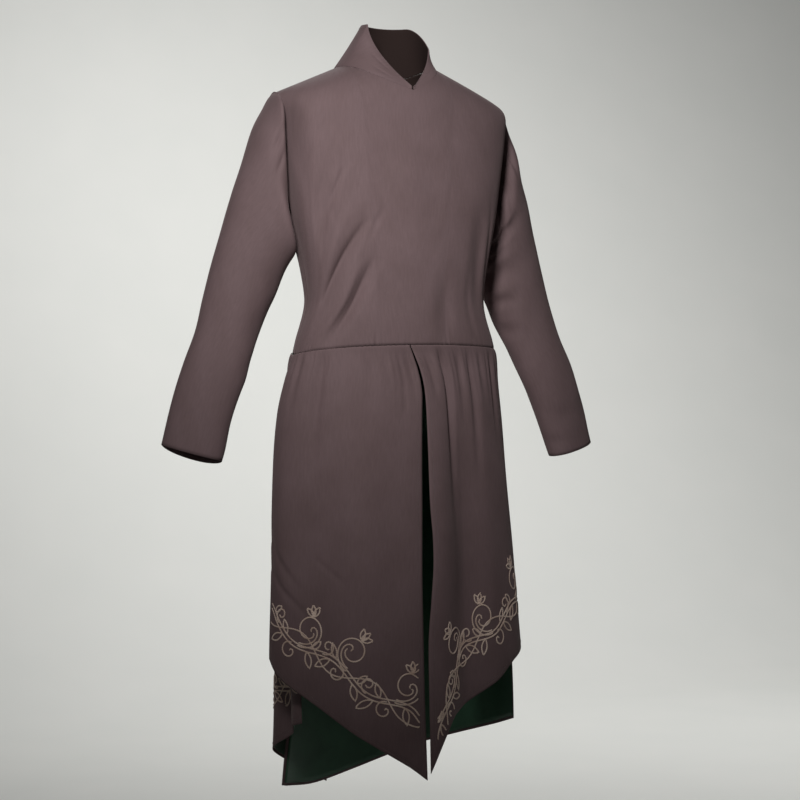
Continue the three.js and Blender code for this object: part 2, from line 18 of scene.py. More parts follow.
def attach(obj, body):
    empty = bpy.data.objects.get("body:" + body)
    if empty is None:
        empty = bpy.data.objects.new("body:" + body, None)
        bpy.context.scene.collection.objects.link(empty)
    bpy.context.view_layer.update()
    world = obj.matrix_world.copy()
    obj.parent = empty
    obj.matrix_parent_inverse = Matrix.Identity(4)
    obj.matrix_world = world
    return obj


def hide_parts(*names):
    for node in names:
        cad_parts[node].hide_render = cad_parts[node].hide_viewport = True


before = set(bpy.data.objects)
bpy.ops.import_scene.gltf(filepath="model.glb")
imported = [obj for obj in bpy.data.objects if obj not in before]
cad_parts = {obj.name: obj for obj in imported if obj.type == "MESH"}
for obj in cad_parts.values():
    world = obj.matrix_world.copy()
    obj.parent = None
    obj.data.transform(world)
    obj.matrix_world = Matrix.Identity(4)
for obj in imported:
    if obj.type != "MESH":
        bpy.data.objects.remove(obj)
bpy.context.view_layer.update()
MM = 0.001

# %% [markdown]
# ## The camera
# A long lens from 3.2 m, level with the hips and 23 degrees round to the wearer's right, keeps the
# upright lines upright. The camera comes first, because every later choice is judged through it.

# %% Place the camera
TURN = math.radians(23)
DISTANCE = 3.2
EYE_HEIGHT = -0.577
SIDESTEP = 0.0219
FOCAL_LENGTH, SENSOR_WIDTH = 82.3, 36

ahead = Vector((math.sin(TURN), math.cos(TURN), 0))
across = Vector((math.cos(TURN), -math.sin(TURN), 0))
camera = bpy.data.objects.new("camera", bpy.data.cameras.new("camera"))
camera.location = across * SIDESTEP - ahead * DISTANCE + Vector((0, 0, EYE_HEIGHT))
camera.rotation_mode = "QUATERNION"
camera.rotation_quaternion = ahead.to_track_quat("-Z", "Y")
camera.data.lens = FOCAL_LENGTH
camera.data.sensor_width = SENSOR_WIDTH
bpy.context.scene.collection.objects.link(camera)
bpy.context.scene.camera = camera
print("camera at", [round(x, 3) for x in camera.location])

# %% [markdown]
# ## Measured tables
# A worn garment has no drawing of its own, so its shape is given by sections: half widths and
# depths at a few heights. The same few numbers as in the solids are repeated here, which is what
# keeps each fine sheet on its own solid. A curve that eases from row to row joins them.

# %% Small shaping helpers
def table(names, *rows):
    return {name: np.array([row[k] for row in rows], float) for k, name in enumerate(names.split())}


def lookup(rows, key, at, column):
    order = np.argsort(rows[key])
    keys = rows[key][order]
    values = rows[column][order]
    last = len(keys) - 1
    below = np.maximum(np.arange(last + 1) - 1, 0)
    above = np.minimum(np.arange(last + 1) + 1, last)
    slope = (values[above] - values[below]) / (keys[above] - keys[below])
    at = np.clip(at, keys[0], keys[-1])
    i = np.clip(np.searchsorted(keys, at, side="right") - 1, 0, last - 1)
    width = keys[i + 1] - keys[i]
    u = (at - keys[i]) / width
    ease = 3 * u * u - 2 * u**3
    bulge = u * (1 - u) * width
    return values[i] + (values[i + 1] - values[i]) * ease + bulge * ((1 - u) * slope[i] - u * slope[i + 1])


def smooth(x, low, high):
    u = np.clip((x - low) / (high - low), 0, 1)
    return u * u * (3 - 2 * u)


def bump(d):
    return np.where(np.abs(d) < 1, np.cos(np.clip(d, -1, 1) * np.pi / 2) ** 2, 0)


def signed_power(v, p):
    return np.sign(v) * np.abs(v) ** p


def outwards(face):
    """The front looks towards -Y and the back towards +Y."""
    return -1 if face == "front" else 1


# %% Sections of the body and of the skirt
CLOTH = 1.5
LINING = 0.8
LINING_INSET = 2.3
SEAM = 0.3
BODY = table(
    "z half front back middle power shift",
    (60, 222, 134, 58, 16, 0.50, 0),
    (-55, 218, 127, 74, 8, 0.50, 0),
    (-100, 209, 121, 83, 2, 0.52, 0),
    (-150, 201, 117, 89, -6, 0.55, 0),
    (-262, 184, 108, 93, -19, 0.62, 0),
    (-402, 160, 99, 84, -30, 0.75, 0),
    (-478, 179, 98, 86, -33, 0.80, 0),
    (-500, 184, 98, 88, -33, 0.80, 0),
)
SKIRT = table(
    "z half front back middle power shift",
    (-480, 180, 98, 88, -33, 0.80, 0),
    (-500, 187, 99, 89, -31, 0.80, 0),
    (-543, 196, 108, 95, -26, 0.82, -4),
    (-600, 206, 120, 100, -21, 0.85, -6),
    (-700, 215, 131, 109, -19, 0.88, -5),
    (-850, 223, 141, 125, -25, 0.92, -2),
    (-1020, 231, 150, 148, -37, 0.95, 0),
    (-1280, 233, 166, 188, -46, 1.00, 0),
)


def on_section(rows, face, side, z, grow=0):
    """Side runs from -1 at the wearer's right side seam to 1 at the left one."""
    angle = side * np.pi / 2
    half = lookup(rows, "z", z, "half") + grow
    depth = lookup(rows, "z", z, face) + grow
    round_off = signed_power(np.cos(angle), lookup(rows, "z", z, "power"))
    x = half * np.sin(angle) + lookup(rows, "z", z, "shift")
    y = lookup(rows, "z", z, "middle") + outwards(face) * depth * round_off
    return np.stack([x, y, z + 0 * x], -1)


# %% [markdown]
# ## The bodice surface
# Two panels meet at the shoulders and at the sides. The chest turns over the shoulder near the top,
# the armhole drops away steeply at the sides, and drag folds run down from the underarm to the
# waist. Each fold is a soft trough between two points.

# %% Bodice outline
WAIST_Z, WAIST_ARCH, WAIST_TILT = -495, 11, 5
SHOULDER_Z, SHOULDER_SLOPE, SHOULDER_TILT, SHOULDER_X = 2, 0.46, 1.5, 203
UNDERARM_Z = -262
NECK_X, NECK_FRONT_Z, NECK_BACK_Z = 86, -52, -12
NECK_RIGHT, NECK_LEFT = 95, 78
SHOULDER_PASSES = 6
NECK_RISE = 0.75
ROUNDING_Z, ROUNDNESS = -112, 2.6
ARM_STEPS = 8
# power, curve and seam clearance of a round armhole, and of the right one that the pose scoops out
ARMHOLE, SCOOPED = (1.6, 0.5, SEAM), (1.3, 1.3, 1.1)


def tilt(x):
    return -SHOULDER_TILT * x / SHOULDER_X


def shoulder_z(x):
    return SHOULDER_Z + tilt(x) - SHOULDER_SLOPE * (np.abs(x) - NECK_X)


def waist_z(side):
    return WAIST_Z + WAIST_ARCH * np.cos(side * np.pi / 2) + WAIST_TILT * side


def side_at(x):
    return abs(float(np.arcsin(x / lookup(BODY, "z", shoulder_z(x), "half")) / (np.pi / 2)))


TIP_SIDE = side_at(SHOULDER_X)
NECK_SIDES = (side_at(-NECK_RIGHT), side_at(NECK_LEFT))


def by_hand(side, right, left):
    return np.where(np.asarray(side) < 0, right, left)


def armhole_of(handed):
    return SCOOPED if handed < 0 else ARMHOLE


def top_z(face, side):
    """Height of the top edge of a panel: neckline, then shoulder seam, then armhole."""
    s = np.abs(side)
    sign = by_hand(side, -1, 1)
    neck_side = by_hand(side, *NECK_SIDES)
    low = NECK_FRONT_Z if face == "front" else NECK_BACK_Z
    u = np.minimum(s / neck_side, 1)
    rise = NECK_RISE * u + (1 - NECK_RISE) * u**4 if face == "front" else u * u
    neck = low + (shoulder_z(by_hand(side, -NECK_RIGHT, NECK_LEFT)) - low) * rise
    z = shoulder_z(side * SHOULDER_X)
    for _ in range(SHOULDER_PASSES):
        z = shoulder_z(lookup(BODY, "z", z, "half") * np.sin(side * np.pi / 2))
    v = np.clip((s - TIP_SIDE) / (1 - TIP_SIDE), 0, 1)
    tip = shoulder_z(sign * SHOULDER_X)
    power, curve = (by_hand(side, *pair) for pair in zip(SCOOPED[:2], ARMHOLE[:2]))
    arm = tip + (UNDERARM_Z - tip) * (1 - (1 - v**power) ** curve)
    return np.where(s <= neck_side, neck, np.where(s <= TIP_SIDE, z, arm))


def arm_side(step, handed):
    power, curve, _ = armhole_of(handed)
    drop = 0.5 - 0.5 * np.cos(step / ARM_STEPS * np.pi)
    return TIP_SIDE + (1 - TIP_SIDE) * (1 - (1 - drop) ** (1 / curve)) ** (1 / power)


# %% Bodice folds
# side and height of both ends, half width in sides, depth in mm (a ridge if negative): first the
# main ones, then the fine
FRONT_FOLDS = [
    (-0.32, -278, -0.80, -430, 0.06, 9),
    (-0.30, -343, -0.60, -480, 0.06, 9),
    (-0.57, -185, -0.69, -309, 0.07, 7),
    (-0.72, -110, -0.78, -230, 0.07, 7),
    (-0.44, -265, -0.84, -400, 0.05, -4),
    (-0.42, -350, -0.72, -475, 0.05, -4),
    (0.50, -250, 0.58, -430, 0.08, 7),
    (0.22, -380, 0.20, -478, 0.07, 4),
    (-0.32, -278, -0.74, -410, 0.022, 4.5),
    (-0.30, -343, -0.56, -470, 0.022, 4.5),
    (-0.44, -190, -0.56, -250, 0.020, 4.0),
    (-0.54, -230, -0.72, -330, 0.025, 3.0),
    (-0.20, -255, -0.34, -320, 0.020, 1.6),
    (0.62, -230, 0.76, -400, 0.030, 3.0),
    (0.44, -330, 0.46, -470, 0.035, 2.4),
    (0.08, -120, 0.14, -330, 0.09, 1.6),
    (-0.12, -110, -0.22, -260, 0.08, 1.4),
]
BACK_FOLDS = [
    (-0.30, -220, -0.66, -430, 0.10, 6),
    (0.34, -250, 0.70, -440, 0.10, 6),
    (0.02, -300, -0.04, -470, 0.11, 5),
    (-0.50, -170, -0.70, -330, 0.05, 2.6),
    (0.52, -180, 0.72, -340, 0.05, 2.6),
    (-0.18, -330, -0.34, -470, 0.04, 2.0),
    (0.20, -340, 0.36, -470, 0.04, 2.0),
    (0.05, -90, -0.03, -260, 0.09, 1.8),
]
FOLD_TAIL, FOLD_SOFTNESS = 40, 1.6


def fold_depth(folds, side, z):
    total = 0 * (side + z)
    for side0, z0, side1, z1, half, depth in folds:
        u = np.clip((z - z0) / (z1 - z0), 0, 1)
        along = bump(np.clip((z - (z0 + z1) / 2) / ((z0 - z1) / 2 + FOLD_TAIL), -1, 1))
        total = total + depth * along * bump((side - (side0 + (side1 - side0) * u)) / (half * FOLD_SOFTNESS))
    return total


def ripple(a, b, seed, length=90):
    """A slow, uneven swell of about -1 to 1 over a and b in mm, for cloth that is never quite flat."""
    draw = random.Random(seed)
    total = 0 * (a + b)
    for _ in range(6):
        turn = draw.uniform(0, math.tau)
        wave = length * draw.uniform(0.6, 1.7)
        start = draw.uniform(0, math.tau)
        total = total + np.sin(math.tau * (a * math.cos(turn) + b * math.sin(turn)) / wave + start)
    return total / 3


def bodice_point(face, side, z):
    p = on_section(BODY, face, side, z)
    t = np.clip((z - ROUNDING_Z) / (shoulder_z(p[..., 0]) - ROUNDING_Z), 0, 1)
    middle = lookup(BODY, "z", z, "middle")
    sink = fold_depth(FRONT_FOLDS if face == "front" else BACK_FOLDS, side, z)
    depth = (p[..., 1] - middle) * np.sqrt(np.maximum(1 - t**ROUNDNESS, 0))
    p[..., 1] = middle + depth - outwards(face) * sink * np.sqrt(1 - t)
    return p


# %% [markdown]
# ## The sleeves
# A set-in sleeve is one tube. Its top ring is the armhole itself, so that the seam closes, and over
# the first third it eases into the round of the arm. Folds gather at the crook of the elbow and
# under the arm, more of them on the left sleeve, which is swung a little forward.

# %% Sleeve surface
SLEEVE = table(
    "k inX inZ outX outZ y depth turn",
    (0, 184, -262, 203, -50, -6, 62, 0),
    (1, 187, -268, 210, -63, -2, 62, 2),
    (2, 188, -276, 220, -89, 3, 61, 4),
    (3, 187, -287, 238, -126, 8, 60, 5),
    (4, 185, -302, 255, -172, 14, 57, 6),
    (5, 184, -322, 274, -222, 19, 54, 7),
    (6, 187, -348, 291, -282, 23, 51, 8),
    (7, 197, -382, 310, -348, 24, 48, 8),
    (8, 215, -424, 326, -408, 22, 45, 8),
    (9, 238, -474, 341, -462, 15, 42, 9),
    (10, 262, -532, 362, -514, 5, 37, 16),
    (11, 288, -597, 382, -574, -1, 32, 21),
    (12, 313, -678, 402, -652, -6, 27, 24),
)
LAST_ROW = 12
ARMHOLE_BLEND = 4.5
SLEEVE_WIDTH, SLEEVE_ROUND = 60, 0.95
CUFF_DROP, CUFF_DROP_ROW = 13, 9
# hand, row, angle from the outer line (90 is the front), half sizes in degrees and rows, depth
SLEEVE_FOLDS = [
    (-1, 4.2, 138, 62, 2.9, -24), (-1, 8.4, 150, 60, 1.0, 4), (-1, 7.0, 250, 60, 0.8, 5),
    (-1, 9.8, 165, 50, 0.5, 2),
    (1, 4.6, 130, 60, 0.6, 8), (1, 6.4, 140, 65, 0.7, 9), (1, 7.6, 250, 60, 0.8, 5),
    (1, 11.2, 110, 70, 0.4, 5), (1, 5.4, 165, 50, 0.3, 4), (1, 7.5, 150, 55, 0.4, 5),
    (1, 8.6, 160, 50, 0.4, 4), (1, 11.7, 150, 60, 0.2, 3),
]
# long troughs down the head of the sleeve: hand, angle, half width, first and last row, depth
CAP_FOLDS = [
    (-1, 62, 9, 0.8, 3.0, 3.4), (-1, 84, 8, 1.0, 3.4, 3.0), (-1, 262, 14, 0.8, 4.6, 3.0),
    (-1, 352, 55, 0.3, 5.0, -8.0),
    (1, 92, 12, 0.8, 4.0, 5.0), (1, 120, 15, 1.0, 6.0, 10.0), (1, 60, 10, 1.0, 4.0, 3.4),
    (1, 262, 14, 0.8, 4.6, 3.0),
]


def around(degrees, middle):
    return (degrees - middle + 180) % 360 - 180


def sleeve_point(row, angle, handed):
    turn = np.radians(lookup(SLEEVE, "k", row, "turn"))
    at = {name: lookup(SLEEVE, "k", row, name) for name in ("inX", "inZ", "outX", "outZ", "y", "depth")}
    degrees = np.degrees(angle)
    sink = 0 * (row + angle)
    for hand, place, middle, spread, reach, depth in SLEEVE_FOLDS:
        depth = depth * (hand == handed)
        sink = sink + depth * bump((row - place) / reach) * bump(around(degrees, middle) / spread)
    for hand, middle, spread, first, last, depth in CAP_FOLDS:
        depth = depth * (hand == handed)
        along = bump((row - (first + last) / 2) / ((last - first) / 2 + 0.3))
        sink = sink + depth * along * bump(around(degrees, middle) / spread)
    scale = 1 - sink / SLEEVE_WIDTH
    broad = signed_power(np.cos(angle), SLEEVE_ROUND) * scale
    narrow = signed_power(np.sin(angle), SLEEVE_ROUND) * scale * at["depth"]
    reach_x = (at["outX"] - at["inX"]) / 2
    x = (at["inX"] + at["outX"]) / 2 + reach_x * broad + np.sin(turn) * narrow
    y = at["y"] + reach_x * np.tan(turn) * broad - np.cos(turn) * narrow
    z = (at["inZ"] + at["outZ"]) / 2 + (at["outZ"] - at["inZ"]) / 2 * broad
    if handed < 0:
        z = z - CUFF_DROP * np.maximum(0, -np.sin(angle)) * smooth(row, CUFF_DROP_ROW, LAST_ROW)
    return np.stack([x * handed, y, z], -1)


def armhole_point(step, handed):
    on_front = step <= ARM_STEPS
    halves = {}
    for face in ("front", "back"):
        side = handed * arm_side(np.where(on_front, step, 2 * ARM_STEPS - step), handed)
        halves[face] = bodice_point(face, side, top_z(face, side))
        halves[face][..., 0] += handed * armhole_of(handed)[2]
    p = np.where(on_front[..., None], halves["front"], halves["back"])
    apart = np.minimum(np.abs(np.sin(step / ARM_STEPS * np.pi)) * 4, 1) * SEAM / 2
    p[..., 1] += np.where(on_front, -1, 1) * apart
    return p


# how deep the armhole is pulled in on the right and on the left, and how far that reaches into the
# bodice and into the sleeve by hand, in mm: the sleeve laps the right one, the chest the left one
CREASE_DEPTHS = (33, 24)
BODICE_CREASE, SLEEVE_CREASE = {-1: 17, 1: 8}, {-1: 6, 1: 20}
CREASE_POINTS = 60


def armhole_crease(grid, handed, reach):
    """Pulls the cloth in along the front of the armhole, on both sides of the seam alike."""
    step = np.linspace(0, ARM_STEPS, CREASE_POINTS)
    line = armhole_point(step, handed)
    pull = by_hand(handed, *CREASE_DEPTHS) * np.sin(np.pi * step / ARM_STEPS) ** 0.6
    sink = np.zeros(grid.shape[:2])
    for point, amount in zip(line, pull):
        away = np.linalg.norm(grid - point, axis=-1)
        sink = np.maximum(sink, amount * np.exp(-(away / reach) ** 2))
    grid[..., 1] += sink
    return grid


def sleeve_surface(handed, rows=150, columns=128):
    row = np.linspace(0, 1, rows)[:, None] * LAST_ROW
    step = np.linspace(0, 2 * ARM_STEPS, columns + 1)[None, :]
    angle = step / ARM_STEPS * np.pi
    ring = np.minimum(step, 2 * ARM_STEPS - 1e-9) + 0 * row
    sewn = armhole_point(ring, handed)
    start = sleeve_point(0 * row + 0 * angle, angle + 0 * row, handed)
    eased = (1 - smooth(row, 0, ARMHOLE_BLEND))[..., None]
    grid = sleeve_point(row + 0 * angle, angle + 0 * row, handed) + (sewn - start) * eased
    grid[:, -1] = grid[:, 0]
    return grid


# %% [markdown]
# ## The collar
# The stand collar is a band that rises from the neckline. Its free edge runs up both sides of the
# V, peaks beside the throat and closes round the back, and the whole band leans forward a little.

# %% Collar surface
COLLAR_HALF, COLLAR_DEPTH, COLLAR_MIDDLE = 59, 62, -36
COLLAR_BACK_Z = 77
PEAKS, RISES = (66, 24), (0.8, 0.6)
COLLAR_PEAK = math.radians(77)
PEAK_AT = 0.42
COLLAR_HOLLOW = 1.25
COLLAR_BOW = 1.6
COLLAR_END = 0.005
COLLAR_EARLY = -0.2
# place round the band, height on it, half sizes and depth of the small drag wrinkles
COLLAR_WRINKLES = [
    (0.905, 0.30, 0.05, 0.10, 1.8),
    (0.885, 0.66, 0.06, 0.10, 1.8),
    (0.10, 0.45, 0.05, 0.12, 1.4),
]


def neckline_point(t):
    handed = np.where(t < 0.5, 1, -1)
    u = 2 * np.minimum(t, 1 - t)
    side = handed * by_hand(handed, *NECK_SIDES) * np.sin(u * np.pi)
    front = bodice_point("front", side, top_z("front", side))
    back = bodice_point("back", side, top_z("back", side))
    return np.where((u < 0.5)[..., None], front, back)


def collar_top(t):
    handed = np.where(t < 0.5, 1, -1)
    u = 2 * np.minimum(t, 1 - t)
    peak_z = by_hand(handed, *PEAKS)
    turned = np.clip((u - PEAK_AT) / (1 - PEAK_AT), 0, 1)
    angle = COLLAR_PEAK + (math.pi - COLLAR_PEAK) * turned
    x = handed * COLLAR_HALF * np.sin(angle)
    y = COLLAR_MIDDLE - COLLAR_DEPTH * np.cos(angle)
    z = peak_z + (COLLAR_BACK_Z - peak_z) * smooth(turned, COLLAR_EARLY, by_hand(handed, *RISES))
    top = np.stack([x, y, z], -1)
    start = np.where(t < 0.5, COLLAR_END / 3, 1 - COLLAR_END / 3)
    bottom = neckline_point(start) + np.array([0, -1, 5])
    share = np.minimum(u / PEAK_AT, 1)[..., None]
    bowed = bottom + (top - bottom) * (1 - (1 - share) ** COLLAR_BOW)
    bowed[..., 2:] = bottom[..., 2:] + (top - bottom)[..., 2:] * share
    return np.where((u < PEAK_AT)[..., None], bowed, top)


def collar_surface(rows=26, columns=150):
    v = np.linspace(1, 0, rows)[:, None]
    t = COLLAR_END / 2 + np.linspace(0, 1, columns)[None, :] * (1 - COLLAR_END) + 0 * v
    base = neckline_point(t) + np.array([0, 0, SEAM])
    grid = base + (collar_top(t) - base) * v[..., None]
    hollow = COLLAR_HOLLOW * 4 * v * (1 - v) * smooth(2 * np.minimum(t, 1 - t), 0.1, 0.5)
    for place, height, half, reach, depth in COLLAR_WRINKLES:
        hollow = hollow + depth * bump((t - place) / half) * bump((v - height) / reach)
    out = base - np.array([0, COLLAR_MIDDLE, 0])
    out[..., 2] = 0
    out /= np.linalg.norm(out, axis=-1, keepdims=True)
    return grid - out * hollow[..., None]


# %% [markdown]
# ## The skirt panels
# Four pointed panels hang from the waist seam. t runs across each panel from its free centre edge
# to its side edge. Gathers fan out from the seam and fade, slow waves open towards the hem, and
# faint drags slant across near the side edge.

# %% Skirt tables
FALL = 300
UNDERLAP_TOP, UNDERLAP_SIDES = 5.5, (0.12, 0.30)
WRAP_TOP, WRAP_LOW, WRAP_SIDES = 9, 38, (0.55, 0.86)
PANELS = {
    "front_right": dict(
        face="front", seam=-1, wrap=0, seamed=-1e4, under=0,
        edge=table("z side", (-486, -0.047), (-506, -0.018), (-526, 0.010), (-548, 0.030),
                   (-572, 0.038), (-744, 0.010), (-909, -0.022), (-1072, -0.035), (-1200, -0.036)),
        hem=table("t z", (0, -1203), (0.10, -1177), (0.5, -1096), (0.9, -1034), (1, -1012)),
        gathers=[(0.05, 0.050, 5, -600), (0.28, 0.060, 3, -600), (0.45, 0.050, 2, -560),
                 (0.62, 0.070, 6, -780), (0.84, 0.060, 4, -640)],
        waves=[(0.62, 0.20, 10), (0.30, 0.14, -5)],
        fine=[(0.035, 0.018, 2.5, -600), (0.095, 0.024, 3.5, -640), (0.155, 0.020, -2.5, -600),
              (0.36, 0.014, 1.4, -530), (0.57, 0.022, 2.0, -560), (0.70, 0.022, 2.2, -600),
              (0.92, 0.020, 2.0, -580)],
        drags=[(0.98, -815, 0.72, -890, 0.035, 2.2), (0.98, -862, 0.66, -935, 0.035, 2.4),
               (0.60, -840, 0.40, -880, 0.030, 1.2)],
        pucker=0.35, axis=table("t z", (0.03, -1110), (0.10, -1090), (0.5, -1008), (0.9, -948), (1, -925)),
    ),
    "front_left": dict(
        face="front", seam=1, wrap=0, seamed=-1e4, under=0,
        edge=table("z side", (-486, -0.040), (-506, -0.008), (-526, 0.020), (-548, 0.038),
                   (-572, 0.044), (-605, 0.041), (-744, 0.014), (-841, 0.007), (-906, -0.014),
                   (-970, -0.036), (-1067, -0.046), (-1181, -0.051)),
        hem=table("t z", (0, -1186), (0.06, -1136), (0.12, -1102), (0.18, -1091), (0.42, -1054),
                  (0.62, -1022), (1, -1000)),
        gathers=[(0.07, 0.035, 5, -600), (0.175, 0.045, 10, -860), (0.28, 0.040, 5, -640),
                 (0.38, 0.045, 7, -760), (0.48, 0.045, 4, -600), (0.62, 0.050, 6, -680),
                 (0.80, 0.050, 5, -620)],
        waves=[(0.02, 0.16, -34), (0.26, 0.14, 6)],
        fine=[(0.035, 0.014, 2.4, -560), (0.10, 0.014, 2.4, -560), (0.165, 0.018, 4.0, -720),
              (0.235, 0.016, 2.6, -600), (0.295, 0.016, 2.4, -570), (0.335, 0.014, 2.8, -560),
              (0.42, 0.018, 2.6, -640), (0.55, 0.020, 2.2, -600), (0.71, 0.022, 2.2, -590),
              (0.89, 0.020, 2.0, -570)],
        drags=[(0.95, -880, 0.72, -950, 0.040, 1.8)],
        pucker=1.0, axis=table("t z", (0.03, -1140), (0.08, -1075), (0.14, -1030), (0.22, -1000),
                               (0.42, -962), (0.62, -936), (1, -915)),
    ),
    "back_right": dict(
        face="back", seam=-1, wrap=-0.17, seamed=-560, under=0,
        edge=table("z side", (-478, 0.10), (-800, 0.04), (-1280, -0.19)),
        hem=table("t z", (0, -1263), (0.6, -1158), (0.8, -1131), (1, -1118)),
        gathers=[(0.30, 0.060, 6, -700), (0.52, 0.060, 7, -760), (0.76, 0.060, 6, -680)],
        waves=[(0.40, 0.20, -8), (0.70, 0.14, 8)],
        fine=[(0.20, 0.022, 2.4, -600), (0.40, 0.024, 2.4, -620), (0.64, 0.022, 2.2, -590),
              (0.88, 0.020, 2.0, -570)],
        drags=[(0.90, -900, 0.64, -980, 0.040, 2.0)],
        pucker=1.0, axis=table("t z", (0, -1172), (0.6, -1072), (0.8, -1046), (1, -1034)),
    ),
    "back_left": dict(
        face="back", seam=1, wrap=0, seamed=-1e4, under=16,
        edge=table("z side", (-478, -0.12), (-700, -0.24), (-1000, -0.46), (-1280, -0.64)),
        hem=table("t z", (0, -1246), (0.05, -1251), (0.20, -1258), (0.35, -1242), (0.55, -1204),
                  (0.9, -1155), (1, -1142)),
        gathers=[(0.30, 0.050, 6, -760), (0.52, 0.060, 7, -700), (0.76, 0.060, 6, -680)],
        waves=[(0.62, 0.20, 10), (0.98, 0.14, 7)],
        fine=[(0.41, 0.020, 2.2, -600), (0.64, 0.022, 2.2, -590), (0.88, 0.020, 2.0, -570)],
        drags=[(0.92, -880, 0.66, -960, 0.040, 2.0)],
        pucker=1.0, axis=table("t z", (0, -1165), (0.2, -1172), (0.35, -1158), (0.55, -1120),
                               (0.9, -1072), (1, -1058)),
    ),
}


# %% Skirt surface
PUCKER, PUCKER_PITCH, PUCKER_FADE = 0.9, 0.030, 30
SKIRT_SWELL = 0.8
WAVE_SOFTNESS = 1.4
PANEL_WIDTH = 300
HIGHEST_WAIST = -478


def panel_point(panel, t, z):
    free = lookup(panel["edge"], "z", z, "side")
    fall = np.clip((WAIST_Z - z) / FALL, 0, 1)
    seam = panel["seam"] + panel["wrap"] * smooth(fall, 0.25, 1)
    side = free + (seam - free) * t
    sink = 0 * (t + z)
    start = smooth(WAIST_Z - z, -14, 30)
    for middle, half, depth, end in panel["gathers"] + panel["fine"]:
        fade = 1 - smooth(-z, -WAIST_Z, -end)
        sink = sink + depth * fade * start * bump((t - middle) / half)
    for middle, half, depth in panel["waves"]:
        sink = sink + depth * fall * bump((t - middle) / (half * WAVE_SOFTNESS))
    sink = sink + fold_depth(panel["drags"], t, z)
    below = waist_z(side) - z
    wander = 0.35 * np.sin(31 * t)
    fade = smooth(below, 0, 6) * np.exp(-np.maximum(below, 0) / PUCKER_FADE)
    puckers = 0.5 + 0.5 * np.sin(math.tau * (t / PUCKER_PITCH + wander))
    sink = sink + PUCKER * panel["pucker"] * fade * puckers
    swell = 1 + ripple(t * PANEL_WIDTH, z * 0.5, len(panel["fine"]), 110)
    sink = sink + SKIRT_SWELL * smooth(below, 20, 120) * swell
    if panel["under"]:
        under = UNDERLAP_TOP + (panel["under"] - UNDERLAP_TOP) * smooth(fall, 0, 0.15)
        sink = sink + under * (1 - smooth(side, *UNDERLAP_SIDES))
    if panel["wrap"]:
        inset = WRAP_TOP * smooth(fall, 0.02, 0.2) + (WRAP_LOW - WRAP_TOP) * smooth(-z, 800, 1100)
        sink = sink + inset * smooth(-side, *WRAP_SIDES)
    p = on_section(SKIRT, panel["face"], side, z, -sink)
    p[..., 1] += outwards(panel["face"]) * SEAM / 2
    return p


def panel_surface(panel, rows=150, columns=96, shorter=0, narrower=0):
    """shorter and narrower, in mm, draw the hem and the free edges of a lining back."""
    v = (np.linspace(0, 1, rows) ** 1.12)[:, None]
    margin = narrower / PANEL_WIDTH
    t = margin + np.linspace(0, 1, columns)[None, :] * (1 - margin)
    first = lookup(panel["edge"], "z", HIGHEST_WAIST, "side")
    top = waist_z(first + (panel["seam"] - first) * t) - SEAM / 2
    z = top + (lookup(panel["hem"], "t", t, "z") + shorter - top) * v
    return panel_point(panel, t + 0 * z, z)


# %% [markdown]
# ## From a surface to a sheet of cloth
# A grid is the natural start for cloth: it already has a lengthways and a crosswise grain. Its
# vertices move onto the surface, seam edges turn in a little as pressed seams do, and Solidify
# gives the wall its thickness towards the body. The grain is kept as a UV map in metres, so that
# the weave runs with the cloth on every panel.

# %% The sheet maker
def grid_normals(grid, flip):
    across_step = np.gradient(grid, axis=1)
    down_step = np.gradient(grid, axis=0)
    normal = np.cross(down_step, across_step)
    length = np.linalg.norm(normal, axis=-1, keepdims=True)
    normal = normal / np.maximum(length, 1e-9)
    return -normal if flip else normal


def arc(grid, axis):
    step = np.linalg.norm(np.diff(grid, axis=axis), axis=-1)
    pad = [(0, 0), (0, 0)]
    pad[axis] = (1, 0)
    return np.pad(np.cumsum(step, axis=axis), pad)


def turn_in(grid, flip, edges, depth=1.3, reach=2.6):
    """Rolls the named edges inwards: t top, b bottom, l first column, r last column."""
    down, sideways = arc(grid, 0), arc(grid, 1)
    away = {"t": down, "b": down[-1:] - down, "l": sideways, "r": sideways[:, -1:] - sideways}
    sink = sum(depth * np.exp(-away[edge] / reach) for edge in edges)
    return grid - grid_normals(grid, flip) * np.reshape(sink, (*grid.shape[:2], 1))


def mesh_piece(name, bm, body="root"):
    mesh = bpy.data.meshes.new(name)
    for face in bm.faces:
        face.smooth = True
    bm.to_mesh(mesh)
    bm.free()
    piece = bpy.data.objects.new(name, mesh)
    bpy.context.scene.collection.objects.link(piece)
    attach(piece, body)
    return piece


